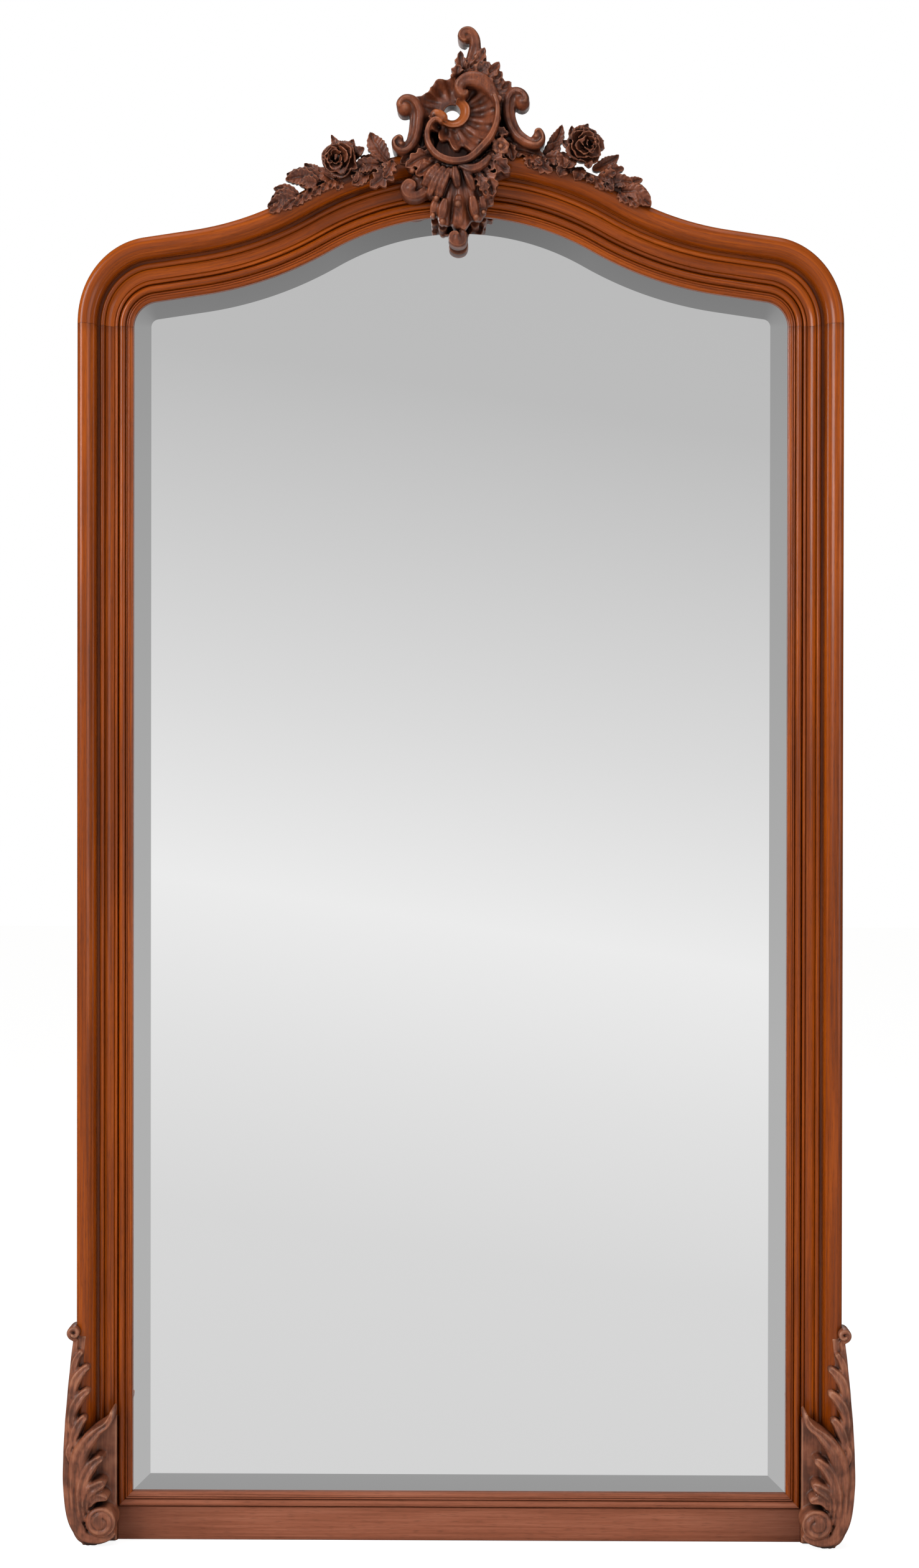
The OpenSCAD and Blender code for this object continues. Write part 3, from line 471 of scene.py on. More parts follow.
@dataclass(frozen=True)
class Timber:
    """A sawn or moulded wood with its grain, pores, dirt and painted shade in the hollows, and polish."""

    name: str
    dark: str
    middle: str
    light: str
    # the colour that hollows, grooves and joints darken to: dirt and painted shade
    dirt_and_shade: str
    grain: Grain = Grain.CHART
    line_mm: float = 3.2
    run_mm: float = 170.0
    patch_mm: float = 60.0
    pore_mm: float = 1.1
    roughness: float = 0.25
    coat: float = 0.12
    shine: float = 0.26
    # how strongly dirt and painted shade darken the hollows and grooves
    grime_and_shade: float = 0.6
    bump_mm: float = 0.06

    def scales(self) -> dict[Grain, Callable[[float, float], tuple[float, float, float]]]:
        """Returns the Mapping scale for each way of the grain, from a size across and one along."""
        return {
            Grain.CHART: lambda a, b: (1000 / a, 1000 / b, 1),
            Grain.UP: lambda a, b: (1000 / a, 1000 / a, 1000 / b),
            Grain.ACROSS: lambda a, b: (1000 / b, 1000 / a, 1000 / a),
        }

    def material(self) -> bpy.types.Material:
        """Builds the wood.

        Returns:
            The material.
        """
        material, tree, out = blank(self.name)
        if self.grain is Grain.CHART:
            place = add(tree, "ShaderNodeUVMap", uv_map="grain").outputs[0]
        else:
            place = add(tree, "ShaderNodeTexCoord").outputs["Object"]
        scale = self.scales()[self.grain]
        streaks = cloudy(tree, place, scale(self.line_mm, self.run_mm), 5.0, 0.62, 0.35)
        clouds = cloudy(tree, place, scale(self.patch_mm, self.run_mm * 3), 3.0)
        blend = calc(tree, "MULTIPLY_ADD", streaks, 0.6, calc(tree, "MULTIPLY", clouds, 0.55))
        tone = ramp(tree, blend, (0.36, self.dark), (0.56, self.middle), (0.74, self.light))
        pores = cloudy(tree, place, scale(self.pore_mm, self.pore_mm * 16), 1.0)
        pitted = mixed(tree, 1.0, tone, stretch(tree, pores, 0.28, 0.44, 0.75, 1.0), "MULTIPLY")
        # dirt and painted shade: the marked hollows, and ambient occlusion in cuts and corners, darken the
        # wood
        noted = add(tree, "ShaderNodeAttribute", attribute_name="hollow").outputs["Fac"]
        deep = stretch(tree, openness(tree, 0.010), 0.2, 0.8, self.grime_and_shade, 0.0)
        dirt_and_shade = calc(tree, "MAXIMUM", calc(tree, "MULTIPLY", noted, self.grime_and_shade), deep)
        gloss = stretch(tree, streaks, 0.3, 0.7, self.roughness + 0.08, self.roughness - 0.05)
        relief = add(tree, "ShaderNodeBump", {"Strength": 0.5, "Distance": self.bump_mm * 0.001,
                                              "Height": streaks})
        shader = add(tree, "ShaderNodeBsdfPrincipled", {
            "Base Color": mixed(tree, dirt_and_shade, pitted, colour(self.dirt_and_shade)), "Roughness": gloss, "IOR": 1.45,
            "Specular IOR Level": self.shine, "Coat Weight": self.coat, "Coat Roughness": 0.12,
            "Normal": relief.outputs[0]})
        tree.links.new(shader.outputs[0], out.inputs[0])
        return material


@dataclass(frozen=True)
class CarvedWood:
    """Walnut worked with gouges and waxed: dirt and painted shade darken the cuts, and the ridges are lighter
    with wear and a painted highlight.
    """

    name: str
    dark: str
    middle: str
    light: str
    # the colour of the ridges: wear and a painted highlight
    worn_and_highlight: str
    # the near-black colour of dirt and painted shade in the cuts
    dirt_and_shade: str
    rubbed: str
    grain_mm: tuple[float, float] = (2.4, 40.0)
    patch_mm: float = 26.0
    cut_mm: float = 2.6
    roughness: float = 0.46

    def material(self) -> bpy.types.Material:
        """Builds the wood.

        Returns:
            The material.
        """
        material, tree, out = blank(self.name)
        place = add(tree, "ShaderNodeTexCoord").outputs["Object"]
        fine, long = self.grain_mm
        streaks = cloudy(tree, place, (1000 / fine, 1000 / fine, 1000 / long), 4.0)
        clouds = cloudy(tree, place, 1000 / self.patch_mm, 3.0)
        blend = calc(tree, "MULTIPLY_ADD", streaks, 0.35, calc(tree, "MULTIPLY", clouds, 0.7))
        tone = ramp(tree, blend, (0.42, self.dark), (0.54, self.middle), (0.68, self.light))
        noted = add(tree, "ShaderNodeAttribute", attribute_name="hollow").outputs["Fac"]
        polish = add(tree, "ShaderNodeAttribute", attribute_name="polish").outputs["Fac"]
        # wear and painted highlight: the ridges of the skin are lightened
        ridged = mixed(tree, stretch(tree, noted, -0.35, -1.0, 0.0, 0.7), tone, colour(self.worn_and_highlight))
        bright = mixed(tree, polish, ridged, colour(self.rubbed))
        # dirt and painted shade: the skin's hollows and ambient occlusion darken the cuts
        dirt_and_shade = calc(tree, "MAXIMUM", stretch(tree, noted, 0.1, 0.9, 0.0, 0.85),
                    stretch(tree, openness(tree, 0.012), 0.25, 0.85, 0.95, 0.0))
        cuts = cloudy(tree, place, 1000 / self.cut_mm, 2.0)
        relief = add(tree, "ShaderNodeBump", {"Strength": 0.5, "Distance": 0.0005, "Height": cuts})
        dull = stretch(tree, clouds, 0.3, 0.7, self.roughness + 0.06, self.roughness - 0.06)
        shader = add(tree, "ShaderNodeBsdfPrincipled", {
            "Base Color": mixed(tree, dirt_and_shade, bright, colour(self.dirt_and_shade)),
            "Roughness": calc(tree, "MULTIPLY_ADD", polish, -0.2, dull), "IOR": 1.45,
            "Specular IOR Level": 0.4, "Coat Weight": 0.1, "Coat Roughness": 0.25,
            "Normal": relief.outputs[0]})
        tree.links.new(shader.outputs[0], out.inputs[0])
        return material


@dataclass(frozen=True)
class Silvering:
    """Silvered plate glass: a near perfect mirror, a little grey, with a trace of haze from wiping."""

    name: str = "silvered_plate_glass"
    tint: str = "#f3f3f3"
    haze_mm: float = 90.0

    def material(self) -> bpy.types.Material:
        """Builds the glass.

        Returns:
            The material.
        """
        material, tree, out = blank(self.name)
        place = add(tree, "ShaderNodeTexCoord").outputs["Object"]
        turned = add(tree, "ShaderNodeMapping",
                     {0: place, "Rotation": (0.0, radians(24), 0.0),
                      "Scale": (1.2, 1.0, 1000 / self.haze_mm)})
        haze = stretch(tree, cloudy(tree, turned.outputs[0], 1.0, 3.0), 0.55, 0.75, 0.012, 0.05)
        shader = add(tree, "ShaderNodeBsdfPrincipled",
                     {"Base Color": colour(self.tint), "Metallic": 1.0, "Roughness": haze})
        tree.links.new(shader.outputs[0], out.inputs[0])
        return material


@dataclass(frozen=True)
class Steel:
    """Old steel screws and plates with a dull grey skin and a little rust."""

    name: str = "aged_steel"
    clean: str = "#8b8880"
    rust: str = "#5c4434"
    spot_mm: float = 6.0

    def material(self) -> bpy.types.Material:
        """Builds the steel.

        Returns:
            The material.
        """
        material, tree, out = blank(self.name)
        place = add(tree, "ShaderNodeTexCoord").outputs["Object"]
        spots = cloudy(tree, place, 1000 / self.spot_mm, 4.0)
        tone = mixed(tree, stretch(tree, spots, 0.45, 0.65, 0.0, 0.7), colour(self.clean), colour(self.rust))
        rough = stretch(tree, spots, 0.4, 0.65, 0.35, 0.7)
        shader = add(tree, "ShaderNodeBsdfPrincipled",
                     {"Base Color": tone, "Metallic": 0.9, "Roughness": rough})
        tree.links.new(shader.outputs[0], out.inputs[0])
        return material


# Each dirt colour below is also painted shade in the hollows; each worn colour is also a painted highlight on
# the ridges.
MOULDED = Timber("polished_walnut", dark="#552204", middle="#833905", light="#a64e09", dirt_and_shade="#301206",
                 patch_mm=34.0, grime_and_shade=0.42)
FASCIA = Timber("faded_walnut", dark="#683824", middle="#8c5038", light="#9e624a", dirt_and_shade="#3a1a0c",
                roughness=0.46, coat=0.06, shine=0.18)
CARVED = CarvedWood("waxed_carved_walnut", dark="#4c2415", middle="#6a3620", light="#824529", worn_and_highlight="#aa6e4e",
                    dirt_and_shade="#150805", rubbed="#a0562a")
CARVED_FOOT = CarvedWood("waxed_carved_walnut_foot", dark="#5e3422", middle="#804830", light="#985e42",
                         worn_and_highlight="#b68264", dirt_and_shade="#1c0c07", rubbed="#a0562a")
BACK_UP = Timber("pale_back_wood_upright", dark="#8c6a44", middle="#b08a5c", light="#c6a478", dirt_and_shade="#5a4128",
                 grain=Grain.UP, roughness=0.62, coat=0.0, line_mm=6.0, run_mm=300.0)
BACK_ACROSS = Timber("pale_back_wood_lying", dark="#8c6a44", middle="#b08a5c", light="#c6a478",
                     dirt_and_shade="#5a4128", grain=Grain.ACROSS, roughness=0.62, coat=0.0, line_mm=6.0, run_mm=300.0)


@dataclass(frozen=True)
class Arch:
    """The sight edge of the opening: straight sides, shoulders, hollow sweeps and a rounded crown."""

    sight_half: float = 457.0
    spring_v: float = 1696.0
    crown_r: float = 370.0
    crown_a: float = 29.7
    sweep_r: float = 504.0
    sweep_a: float = 8.5
    shoulder_r: float = 36.0
    rail_w: float = 85.0
    stile_w: float = 74.0
    foot_v: float = 67.0

    def centres(self) -> tuple[Vector, Vector, Vector]:
        """Returns the middles of the crown, the right-hand sweep and the right-hand shoulder."""
        a, b = radians(self.crown_a), radians(self.sweep_a)
        dx = self.crown_r * sin(a) + self.sweep_r * (sin(a) - sin(b))
        flat = (self.sight_half - dx - self.shoulder_r * (1 - sin(b))) / cos(b)
        end_v = self.spring_v + self.shoulder_r * cos(b) + flat * sin(b)
        apex = end_v + self.sweep_r * (cos(b) - cos(a)) + self.crown_r * (1 - cos(a))
        crown = Vector((0.0, apex - self.crown_r))
        sweep = crown + (self.crown_r + self.sweep_r) * Vector((sin(a), cos(a)))
        return crown, sweep, Vector((self.sight_half - self.shoulder_r, self.spring_v))

    def crown_v(self) -> float:
        """Returns the height of the rail's outer edge over the crown."""
        return self.centres()[0].y + self.crown_r + self.rail_w

    def lift(self, points: Sequence[Point]) -> list[Point]:
        """Moves points from the rail's outer crown to the floor's level."""
        return [(u, v + self.crown_v()) for u, v in points]

    def stations(self, step: float = 1.6) -> list[tuple[Vector, float, float]]:
        """Walks the arch from the left spring to the right one.

        Args:
            step: degrees between two stations on the crown.

        Returns:
            For each station its place, the lean of its outward normal in degrees and how much wider the
            moulding is there.
        """
        crown, sweep, shoulder = self.centres()
        swell = self.rail_w / self.stile_w
        right = []
        n = ceil(self.crown_a / step)
        for i in range(n + 1):
            lean = self.crown_a * i / n
            right.append((crown + self.crown_r * outward(lean), lean, swell))
        n = ceil((self.crown_a - self.sweep_a) / step)
        for i in range(1, n + 1):
            lean = lerp(self.crown_a, self.sweep_a, i / n)
            right.append((sweep - self.sweep_r * outward(lean), lean, swell))
        last = right[-1][0]
        start = shoulder + self.shoulder_r * outward(self.sweep_a)
        for i in (1, 2, 3):
            right.append((last.lerp(start, i / 4), self.sweep_a, swell))
        n = 24
        for i in range(n + 1):
            lean = lerp(self.sweep_a, 90.0, i / n)
            right.append((shoulder + self.shoulder_r * outward(lean), lean, lerp(swell, 1.0, ease(i / n))))
        left = [(Vector((-place.x, place.y)), -lean, wide) for place, lean, wide in reversed(right[1:])]
        return left + right

    def outline(self, s: float, step: float = 1.6) -> list[Point]:
        """Draws the opening's outline a distance outside the sight edge.

        Args:
            s: the distance outside the sight edge.
            step: degrees between two places on the crown.

        Returns:
            The outline's points, clockwise from the left foot.
        """
        top = [tuple(place + s * outward(lean)) for place, lean, _ in self.stations(step)]
        foot = self.foot_v - s
        half = self.sight_half + s
        return [(-half, foot)] + top + [(half, foot)]


@dataclass(frozen=True)
class Moulding:
    """The stile's section: distance from the sight edge, height and depth of the hollow at each mark."""

    lip_h: float = 27.0
    lip_r: float = 4.0
    lip_t: float = 6.0
    sight_w: float = 20.0
    reed_r: float = 1.3
    torus_r: float = 4.2
    fine_r: float = 2.2
    cove_r: float = 12.5
    bead_r: float = 3.2
    groove_w: float = 3.3
    band_round: float = 8.5
    frame_t: float = 60.0
    stile_w: float = 74.0
    rebate_w: float = 9.0
    back_rebate_w: float = 20.0
    back_rebate_d: float = 12.0

    @staticmethod
    def bow(c: Point, rx: float, ry: float, a0: float, a1: float, count: int,
            dirt_and_shade: float = 0.0) -> list[Mark]:
        """Draws part of an oval with dirt and painted shade towards both of its ends.

        Args:
            c: the oval's middle.
            rx: its half width.
            ry: its half height.
            a0: the first angle in degrees.
            a1: the last angle in degrees.
            count: the pieces.
            dirt_and_shade: the depth of the dirt and painted shade at the ends.

        Returns:
            The marks.
        """
        marks = []
        for i in range(count + 1):
            a = radians(lerp(a0, a1, i / count))
            marks.append((c[0] + rx * cos(a), c[1] + ry * sin(a), dirt_and_shade * abs(2 * i / count - 1) ** 4))
        return marks

    def sight(self) -> list[Mark]:
        """Returns the small moulding next to the plate."""
        reed_1 = self.lip_r + 0.4 + self.reed_r
        reed_2 = reed_1 + 2 * self.reed_r + 0.3
        torus = self.sight_w - 1 - self.torus_r
        lip, reed = self.lip_h, self.reed_r
        return [
            (0.0, lip - self.lip_t, 0.8),
            *self.bow((self.lip_r, lip - self.lip_r), self.lip_r, self.lip_r, 180, 90, 6),
            *self.bow((reed_1, lip), reed, reed, 180, 0, 6, 0.7),
            *self.bow((reed_2, lip), reed, reed, 180, 0, 6, 0.7),
            (torus - self.torus_r - 0.2, lip - 0.4, 0.8),
            *self.bow((torus, lip + 1.5), self.torus_r, self.torus_r, 180, 0, 12, 0.5),
            (self.sight_w, lip - 0.4, 0.9)]

    def outer(self) -> list[Mark]:
        """Returns the hollow, beads, groove and broad band outside the small moulding."""
        fine = self.sight_w + 0.5 + self.fine_r
        cove = fine + self.fine_r + 1.1
        end = (cove + self.cove_r * cos(radians(25)), self.lip_h + 2 + self.cove_r * (1 - sin(radians(25))))
        bead = end[0] + 0.9 + self.bead_r
        groove = bead + self.bead_r + 0.6
        floor = self.lip_h + 7
        band = groove + self.groove_w + 0.5
        top = self.stile_w - self.band_round
        edge = self.frame_t - self.band_round
        return [
            *self.bow((fine, self.lip_h + 2), self.fine_r, self.fine_r, 180, 0, 8, 0.7),
            (cove - 0.6, self.lip_h + 1.2, 0.7),
            *self.bow((cove, self.lip_h + 2 + self.cove_r), self.cove_r, self.cove_r, -90, -25, 12, 0.25),
            (end[0] + 0.6, end[1] - 1.4, 0.8),
            *self.bow((bead, self.lip_h + 9.5), self.bead_r, self.bead_r, 180, 0, 10, 0.6),
            (groove, floor, 0.45), (groove + self.groove_w, floor, 0.45),
            *self.bow((top, floor + 6), top - band, self.frame_t - floor - 6, 180, 90, 18, 0.0),
            *self.bow((top, edge), self.band_round, self.band_round, 82, 0, 9, 0.0)]

    def back(self) -> list[Mark]:
        """Returns the rebates from the outside back to the plate's seat."""
        seat = self.lip_h - self.lip_t
        return [(self.back_rebate_w, 0.0, 0.3), (self.back_rebate_w, self.back_rebate_d, 0.6),
                (self.rebate_w, self.back_rebate_d, 0.6), (self.rebate_w, seat, 0.8), (0.0, seat, 0.8)]


@dataclass
class MouldedFrame:
    """Stiles and rails, run from one section and polished."""

    arch: Arch
    section: Moulding
    timber: Timber = MOULDED
    low_timber: Timber = FASCIA
    seam_mm: float = 1.3
    corner_rise: float = 9.0
    stile_grain: float = 900.0
    sight_grain: float = 2500.0
    fascia_grain: float = 3500.0

    def run(self, work: Work, marks: list[Mark], stations: Sequence[Station]) -> None:
        """Carries a closed section along stations.

        Args:
            work: the mesh in the making.
            marks: the section, closed by its first mark.
            stations: for each its run along the grain, the place of a distance from the sight edge, and added
                dirt and painted shade.
        """
        ring = [*marks, marks[0]]
        last_a, last_b = len(ring) - 1, len(stations) - 1
        reach = [0.0]
        for a, b in zip(ring, ring[1:]):
            reach.append(reach[-1] + hypot(b[0] - a[0], b[1] - a[1]))

        def place(s: float, t: float) -> Vector:
            """Returns a corner of the moulding."""
            mark, locate = ring[round(s * last_a)], stations[round(t * last_b)][1]
            return on_face(*locate(mark[0]), mark[1])

        def notes(s: float, t: float) -> tuple[float, Point]:
            """Notes a corner of the moulding.

            Args:
                s: the share round the section.
                t: the share along the path.

            Returns:
                The depth of its dirt and painted shade, and its place in the grain.
            """
            index = round(s * last_a)
            length, _, dirt_and_shade = stations[round(t * last_b)]
            return max(ring[index][2], dirt_and_shade), (reach[index] * 0.001, length * 0.001)

        work.skin(last_a, last_b, place, notes)

    def sight_strip(self) -> list[Mark]:
        """Returns the closed section of the small moulding alone."""
        front = self.section.sight()
        w, seat = self.section.sight_w, self.section.lip_h - self.section.lip_t
        return [*front, (w, self.section.back_rebate_d, 0.5),
                (self.section.rebate_w, self.section.back_rebate_d, 0.5), (self.section.rebate_w, seat, 0.5)]

    def broad_strip(self) -> list[Mark]:
        """Returns the closed section of the stile outside the small moulding."""
        w = self.section.sight_w
        return [(w, self.section.lip_h - 0.4, 0.9), *self.section.outer(), (self.section.stile_w, 0.0, 0.0),
                (w, 0.0, 0.3)]

    def stile(self, side: int) -> bpy.types.Object:
        """Builds one upright.

        Args:
            side: -1 for the left one and 1 for the right one.

        Returns:
            The piece.
        """
        work = Work()
        top, half = self.arch.spring_v, self.arch.sight_half
        runs = [0.0, 40.0, *[90.0 + 200 * i for i in range(8)], top - 12, top - self.seam_mm, top - 0.2]

        def locate(v: float, mitred: bool) -> Callable[[float], Point]:
            """Finds the places at one level.

            Args:
                v: the level above the floor.
                mitred: whether its foot is cut for the bottom rail's moulding.

            Returns:
                The finder of a place from its distance to the sight edge.
            """
            def find(s: float) -> Point:
                """Returns the place of a distance from the sight edge."""
                low = self.arch.foot_v - s if mitred else self.corner_rise * ease((s - 56) / 18)
                return side * (half + s), max(low, v) if v < top - 20 else v
            return find

        for marks, mitred in ((self.sight_strip(), True), (self.broad_strip(), False)):
            levels = runs if not mitred else [0.0, *runs[2:]]
            self.run(work, marks, [(v + self.stile_grain * side, locate(v, mitred),
                                    0.75 if v > top - self.seam_mm - 0.01 else 0.0)
                                   for v in levels])
        name = sided(side, "stile")
        return work.finish(name + "_moulded", "walnut", [name], self.timber.material())

    def foot_rail(self) -> bpy.types.Object:
        """Builds the bottom rail with its mitred moulding and plain fascia.

        Returns:
            The piece.
        """
        work = Work()
        half, foot = self.arch.sight_half, self.arch.foot_v
        shares = [-1.0, -0.998, -0.6, -0.2, 0.2, 0.6, 0.998, 1.0]

        def locate(share: float) -> Callable[[float], Point]:
            """Returns the finder of places at one share of the mitred length."""
            return lambda s: (share * (half + s - 0.2), foot - s)

        self.run(work, self.sight_strip(),
                 [(share * 460 + self.sight_grain, locate(share), 0.0) for share in shares])
        w, lip, end = self.section.sight_w, self.section.lip_h, self.arch.sight_half + self.section.sight_w
        fascia = [(w, lip - 0.4, 0.9), (w + 0.8, lip + 0.6, 0.6), (w + 2.0, lip + 1.2, 0.15),
                  (foot - 2.0, lip + 1.2, 0.0), (foot - 0.6, lip + 0.6, 0.0), (foot, lip - 0.8, 0.2),
                  (foot, 0.0, 0.0), (w, 0.0, 0.3)]

        def butt(u: float) -> Callable[[float], Point]:
            """Returns the finder of places on the fascia at one distance from the middle."""
            return lambda s: (u, foot - s)

        marks = [-end + 0.25, -end + self.seam_mm, -300, -100, 100, 300, end - self.seam_mm, end - 0.25]
        self.run(work, fascia, [(u + self.fascia_grain, butt(u),
                                 0.8 if abs(u) > end - self.seam_mm - 0.01 else 0.0) for u in marks])
        return work.finish("bottom_rail_moulded", "walnut", ["bottom_rail"], self.low_timber.material())

    def head_rail(self) -> bpy.types.Object:
        """Builds the arched rail.

        Returns:
            The piece.
        """
        work = Work()
        seat = self.section.lip_h - self.section.lip_t
        swept = [*self.section.sight(), *self.section.outer()]
        stations = self.arch.stations()
        rows = []
        length = 0.0
        previous = stations[0][0]
        for index, (place, lean, wide) in enumerate(stations):
            length += (place - previous).length * 1.1
            previous = place
            rows.append((length, place, outward(lean), wide))
        drop = Vector((0.0, self.seam_mm))
        first, last = rows[0], rows[-1]
        rows.insert(1, (first[0] + 1, first[1] + drop, first[2], 1.0))
        rows.insert(len(rows) - 1, (last[0] - 1, last[1] + drop, last[2], 1.0))
        back = [(-s, h, dirt_and_shade) for s, h, dirt_and_shade in self.section.back()[:-1]]
        ring = [*swept, (self.section.stile_w, 0.0, 0.0), *back, (0.0, seat, 0.8)]

        def widened(place: Vector, out: Vector, wide: float) -> Callable[[float], Point]:
            """Returns the finder that widens the front and keeps the rebates."""
            return lambda s: tuple(place + out * (s * wide if s >= 0 else -s))

        self.run(work, ring, [(length, widened(place, out, wide),
                               0.75 if index in (0, len(rows) - 1) else 0.0)
                              for index, (length, place, out, wide) in enumerate(rows)])
        return work.finish("top_rail_moulded", "walnut", ["top_rail"], self.timber.material())

    def build(self) -> None:
        """Builds both stiles and both rails."""
        self.stile(-1)
        self.stile(1)
        self.foot_rail()
        self.head_rail()


@dataclass
class BevelledPlate:
    """The plate, with a broad ground bevel on every side."""

    arch: Arch
    lap: float = 7.0
    bevel: float = 25.0
    front_h: float = 23.5
    back_h: float = 17.5
    drop: float = 3.2

    def build(self) -> None:
        """Builds the plate and silvers it."""
        work = Work()
        rings = [(self.lap - 0.1, self.back_h + 0.05), (self.lap - 0.1, self.front_h - self.drop),
                 (-self.bevel, self.front_h)]
        outlines = [self.arch.outline(s, 0.8) for s, _ in rings]
        count = len(outlines[0])
        middle = (0.0, self.arch.spring_v / 2)
        last = len(rings) + 1

        def place(s: float, t: float) -> Vector:
            """Places a corner of the plate.

            Args:
                s: the share of the way round.
                t: the share of the way from the middle of the back to that of the front.

            Returns:
                Its place in the frame.
            """
            ring = round(t * last)
            if ring in (0, last):
                return on_face(*middle, rings[min(ring, len(rings) - 1)][1])
            u, v = outlines[ring - 1][round(s * count) % count]
            return on_face(u, v, rings[ring - 1][1])

        work.skin(count, last, place)
        work.finish("bevelled_plate", "silvered_glass", ["mirror_glass"], Silvering().material(), crease=2.5)


BACK_CELLS = 10
THIN_CELLS = BACK_CELLS + 4


def around(mark: int, front: int) -> tuple[float, float]:
    """Walks round a thin section: across its front, over an edge, back behind it and over the other edge.

    Args:
        mark: the mark on the way round, which closes at front + THIN_CELLS.
        front: the cells of its front.

    Returns:
        The share of the way across the front, and the share of the thickness behind it.
    """
    past = mark - front
    if past <= 0:
        return mark / front, 0.0
    if past == THIN_CELLS:
        return 0.0, 0.0
    if past in (1, THIN_CELLS - 1):
        return (1.0 if past == 1 else 0.0), 0.5
    return 1 - (past - 2) / BACK_CELLS, 1.0


class Carving(Work):
    """A carved piece in the making: closed strokes that are fused into one skin with soft valleys.

    The counts are the cells of each kind of stroke. The skin is softened by rounding, then levelled far
    enough to show how deep each place lies: full_hollow metres for each millimetre of voxel are the deepest.
    """

    scroll_back: int = 3
    scroll_front: int = 18
    leaf_front: int = 22
    leaf_along: int = 48
    shell_out: int = 20
    petal_front: int = 18
    petal_along: int = 12
    rounding: tuple[int, float] = (2, 0.5)
    levelling: tuple[int, float] = (7, 0.6)
    full_hollow: float = 0.55e-3

    def scroll(self, points: Sequence[Point], half: Sequence[float], top: Sequence[float], relief: float,
               back: float, groove: float = 0.3, steps: int = 8, hatch: float = 0.0, groove_at: float = 0.0,
               ribs: float = 0.0) -> None:
        """Adds a scroll with round ends, rounded rims and a hollow between them.

        Args:
            points: its path.
            half: its half widths from start to end.
            top: its heights from start to end.
            relief: the depth of its rounding.
            back: the height of its flat back.
            groove: the hollow's depth as a share of the relief.
            steps: the pieces between two points.
            hatch: the depth of small cuts across it.
            groove_at: where the hollow lies between its left edge at -1 and its right one at 1.
            ribs: the depth of fine flutes along it, as a share of the relief.
        """
        line = curve(points, steps)
        path = even(line, max(16, len(line)))
        across = sides(path)
        last = len(path) - 1
        lead = self.scroll_back
        count = self.scroll_front + 2 * (lead + 2)
        length = sum(hypot(b[0] - a[0], b[1] - a[1]) for a, b in zip(path, path[1:]))

        def place(s: float, t: float) -> Vector:
            """Places a corner of the scroll.

            Args:
                s: the share round the section.
                t: the share along the path.

            Returns:
                Its place in the frame.
            """
            mark, index = round(s * count), round(t * last)
            width, height = through(half, t), through(top, t)
            nose = min(t * length / max(half[0], 1.0), (1 - t) * length / max(half[-1], 1.0), 1.0)
            bulge = sqrt(max(0.0, 1 - (1 - nose) ** 2))
            width *= bulge
            height -= relief * 0.8 * (1 - bulge)
            if mark <= lead or mark >= count - lead:
                x = -0.9 * mark / lead if mark <= lead else 0.9 * (count - mark) / lead
                low = back
            elif mark in (lead + 1, count - lead - 1):
                x, low = (-1.0 if mark == lead + 1 else 1.0), lerp(back, height - relief, 0.5)
            else:
                x = -cos(pi * (mark - lead - 2) / self.scroll_front)
                aside = (x + groove_at) / (0.36 - 0.14 * abs(groove_at))
                rise = (1 - abs(x) ** 2.6) ** 0.55 - groove * exp(-aside ** 2)
                rise -= ribs * (0.5 - 0.5 * cos(5 * pi * x)) * (1 - x * x)
                if hatch:
                    rise -= hatch / relief * (0.5 + 0.5 * sin(length * t * 1.7)) * (1 - abs(x))
                low = height + relief * (rise - 1)
            spot = Vector(path[index]) + across[index] * x * width
            return on_face(spot.x, spot.y, low)

        self.skin(count, last, place)

    def leaf(self, base: Point, tip: Point, width: float, bend: float, top: Sequence[float],
             thick: float = 6.0, lobes: float = 3.0, cut: float = 0.45, curl: float = 0.0, cup: float = 2.0,
             vein: float = 1.8) -> None:
        """Adds a leaf with forward lobes, furrows between them and a midrib.

        Args:
            base: where it grows.
            tip: where it ends.
            width: its full width.
            bend: how far its midrib bows to the left.
            top: its heights from base to tip.
            thick: its thickness.
            lobes: the lobes of each side.
            cut: the depth of the cuts between lobes, as a share of its half width.
            curl: how far its tip curls forward.
            cup: how far its edges stand above its midrib.
            vein: the depth of its furrows.
        """
        rib = Vector(tip) - Vector(base)
        side = Vector((-rib.y, rib.x)).normalized()
        steps = self.leaf_along // 2
        bowed = [tuple(Vector(base) + rib * i / steps + side * bend * hump(i / steps))
                 for i in range(steps + 1)]
        spine = even(bowed, self.leaf_along)
        across = sides(spine)
        along = [Vector((a.y, -a.x)) for a in across]
        lobe_length = rib.length / lobes
        count = self.leaf_front + THIN_CELLS

        def place(s: float, t: float) -> Vector:
            """Places a corner of the leaf.

            Args:
                s: the share of the way round its thin section.
                t: the share of the way from base to tip.

            Returns:
                Its place in the frame.
            """
            share, behind = around(round(s * count), self.leaf_front)
            y, index = lerp(-1, 1, share), round(t * self.leaf_along)
            edge = abs(y)
            phase = t * lobes
            lobe = sin(pi * (phase % 1.0) ** 1.5) if t < 1 else 0.0
            body = hump(lerp(0.10, 1.0, t)) ** 0.75
            reach = width / 2 * body * (1 - cut * (1 - lobe) * edge ** 2)
            slide = 0.42 * lobe_length * edge ** 2 * body * (1 - t)
            furrow = sin(pi * ((phase - 0.75 * edge) % 1.0))
            height = through(top, t) + curl * max(0.0, t - 0.7) ** 2 / 0.09
            rise = cup * edge ** 1.5 - cup * 0.5 + vein * (furrow - 0.6) * edge ** 0.5 * body
            rise -= vein * 1.2 * exp(-(y / 0.16) ** 2)
            spot = Vector(spine[index]) + across[index] * y * reach + along[index] * slide
            return on_face(spot.x, spot.y, height + rise - thick * behind)

        self.skin(count, self.leaf_along, place)

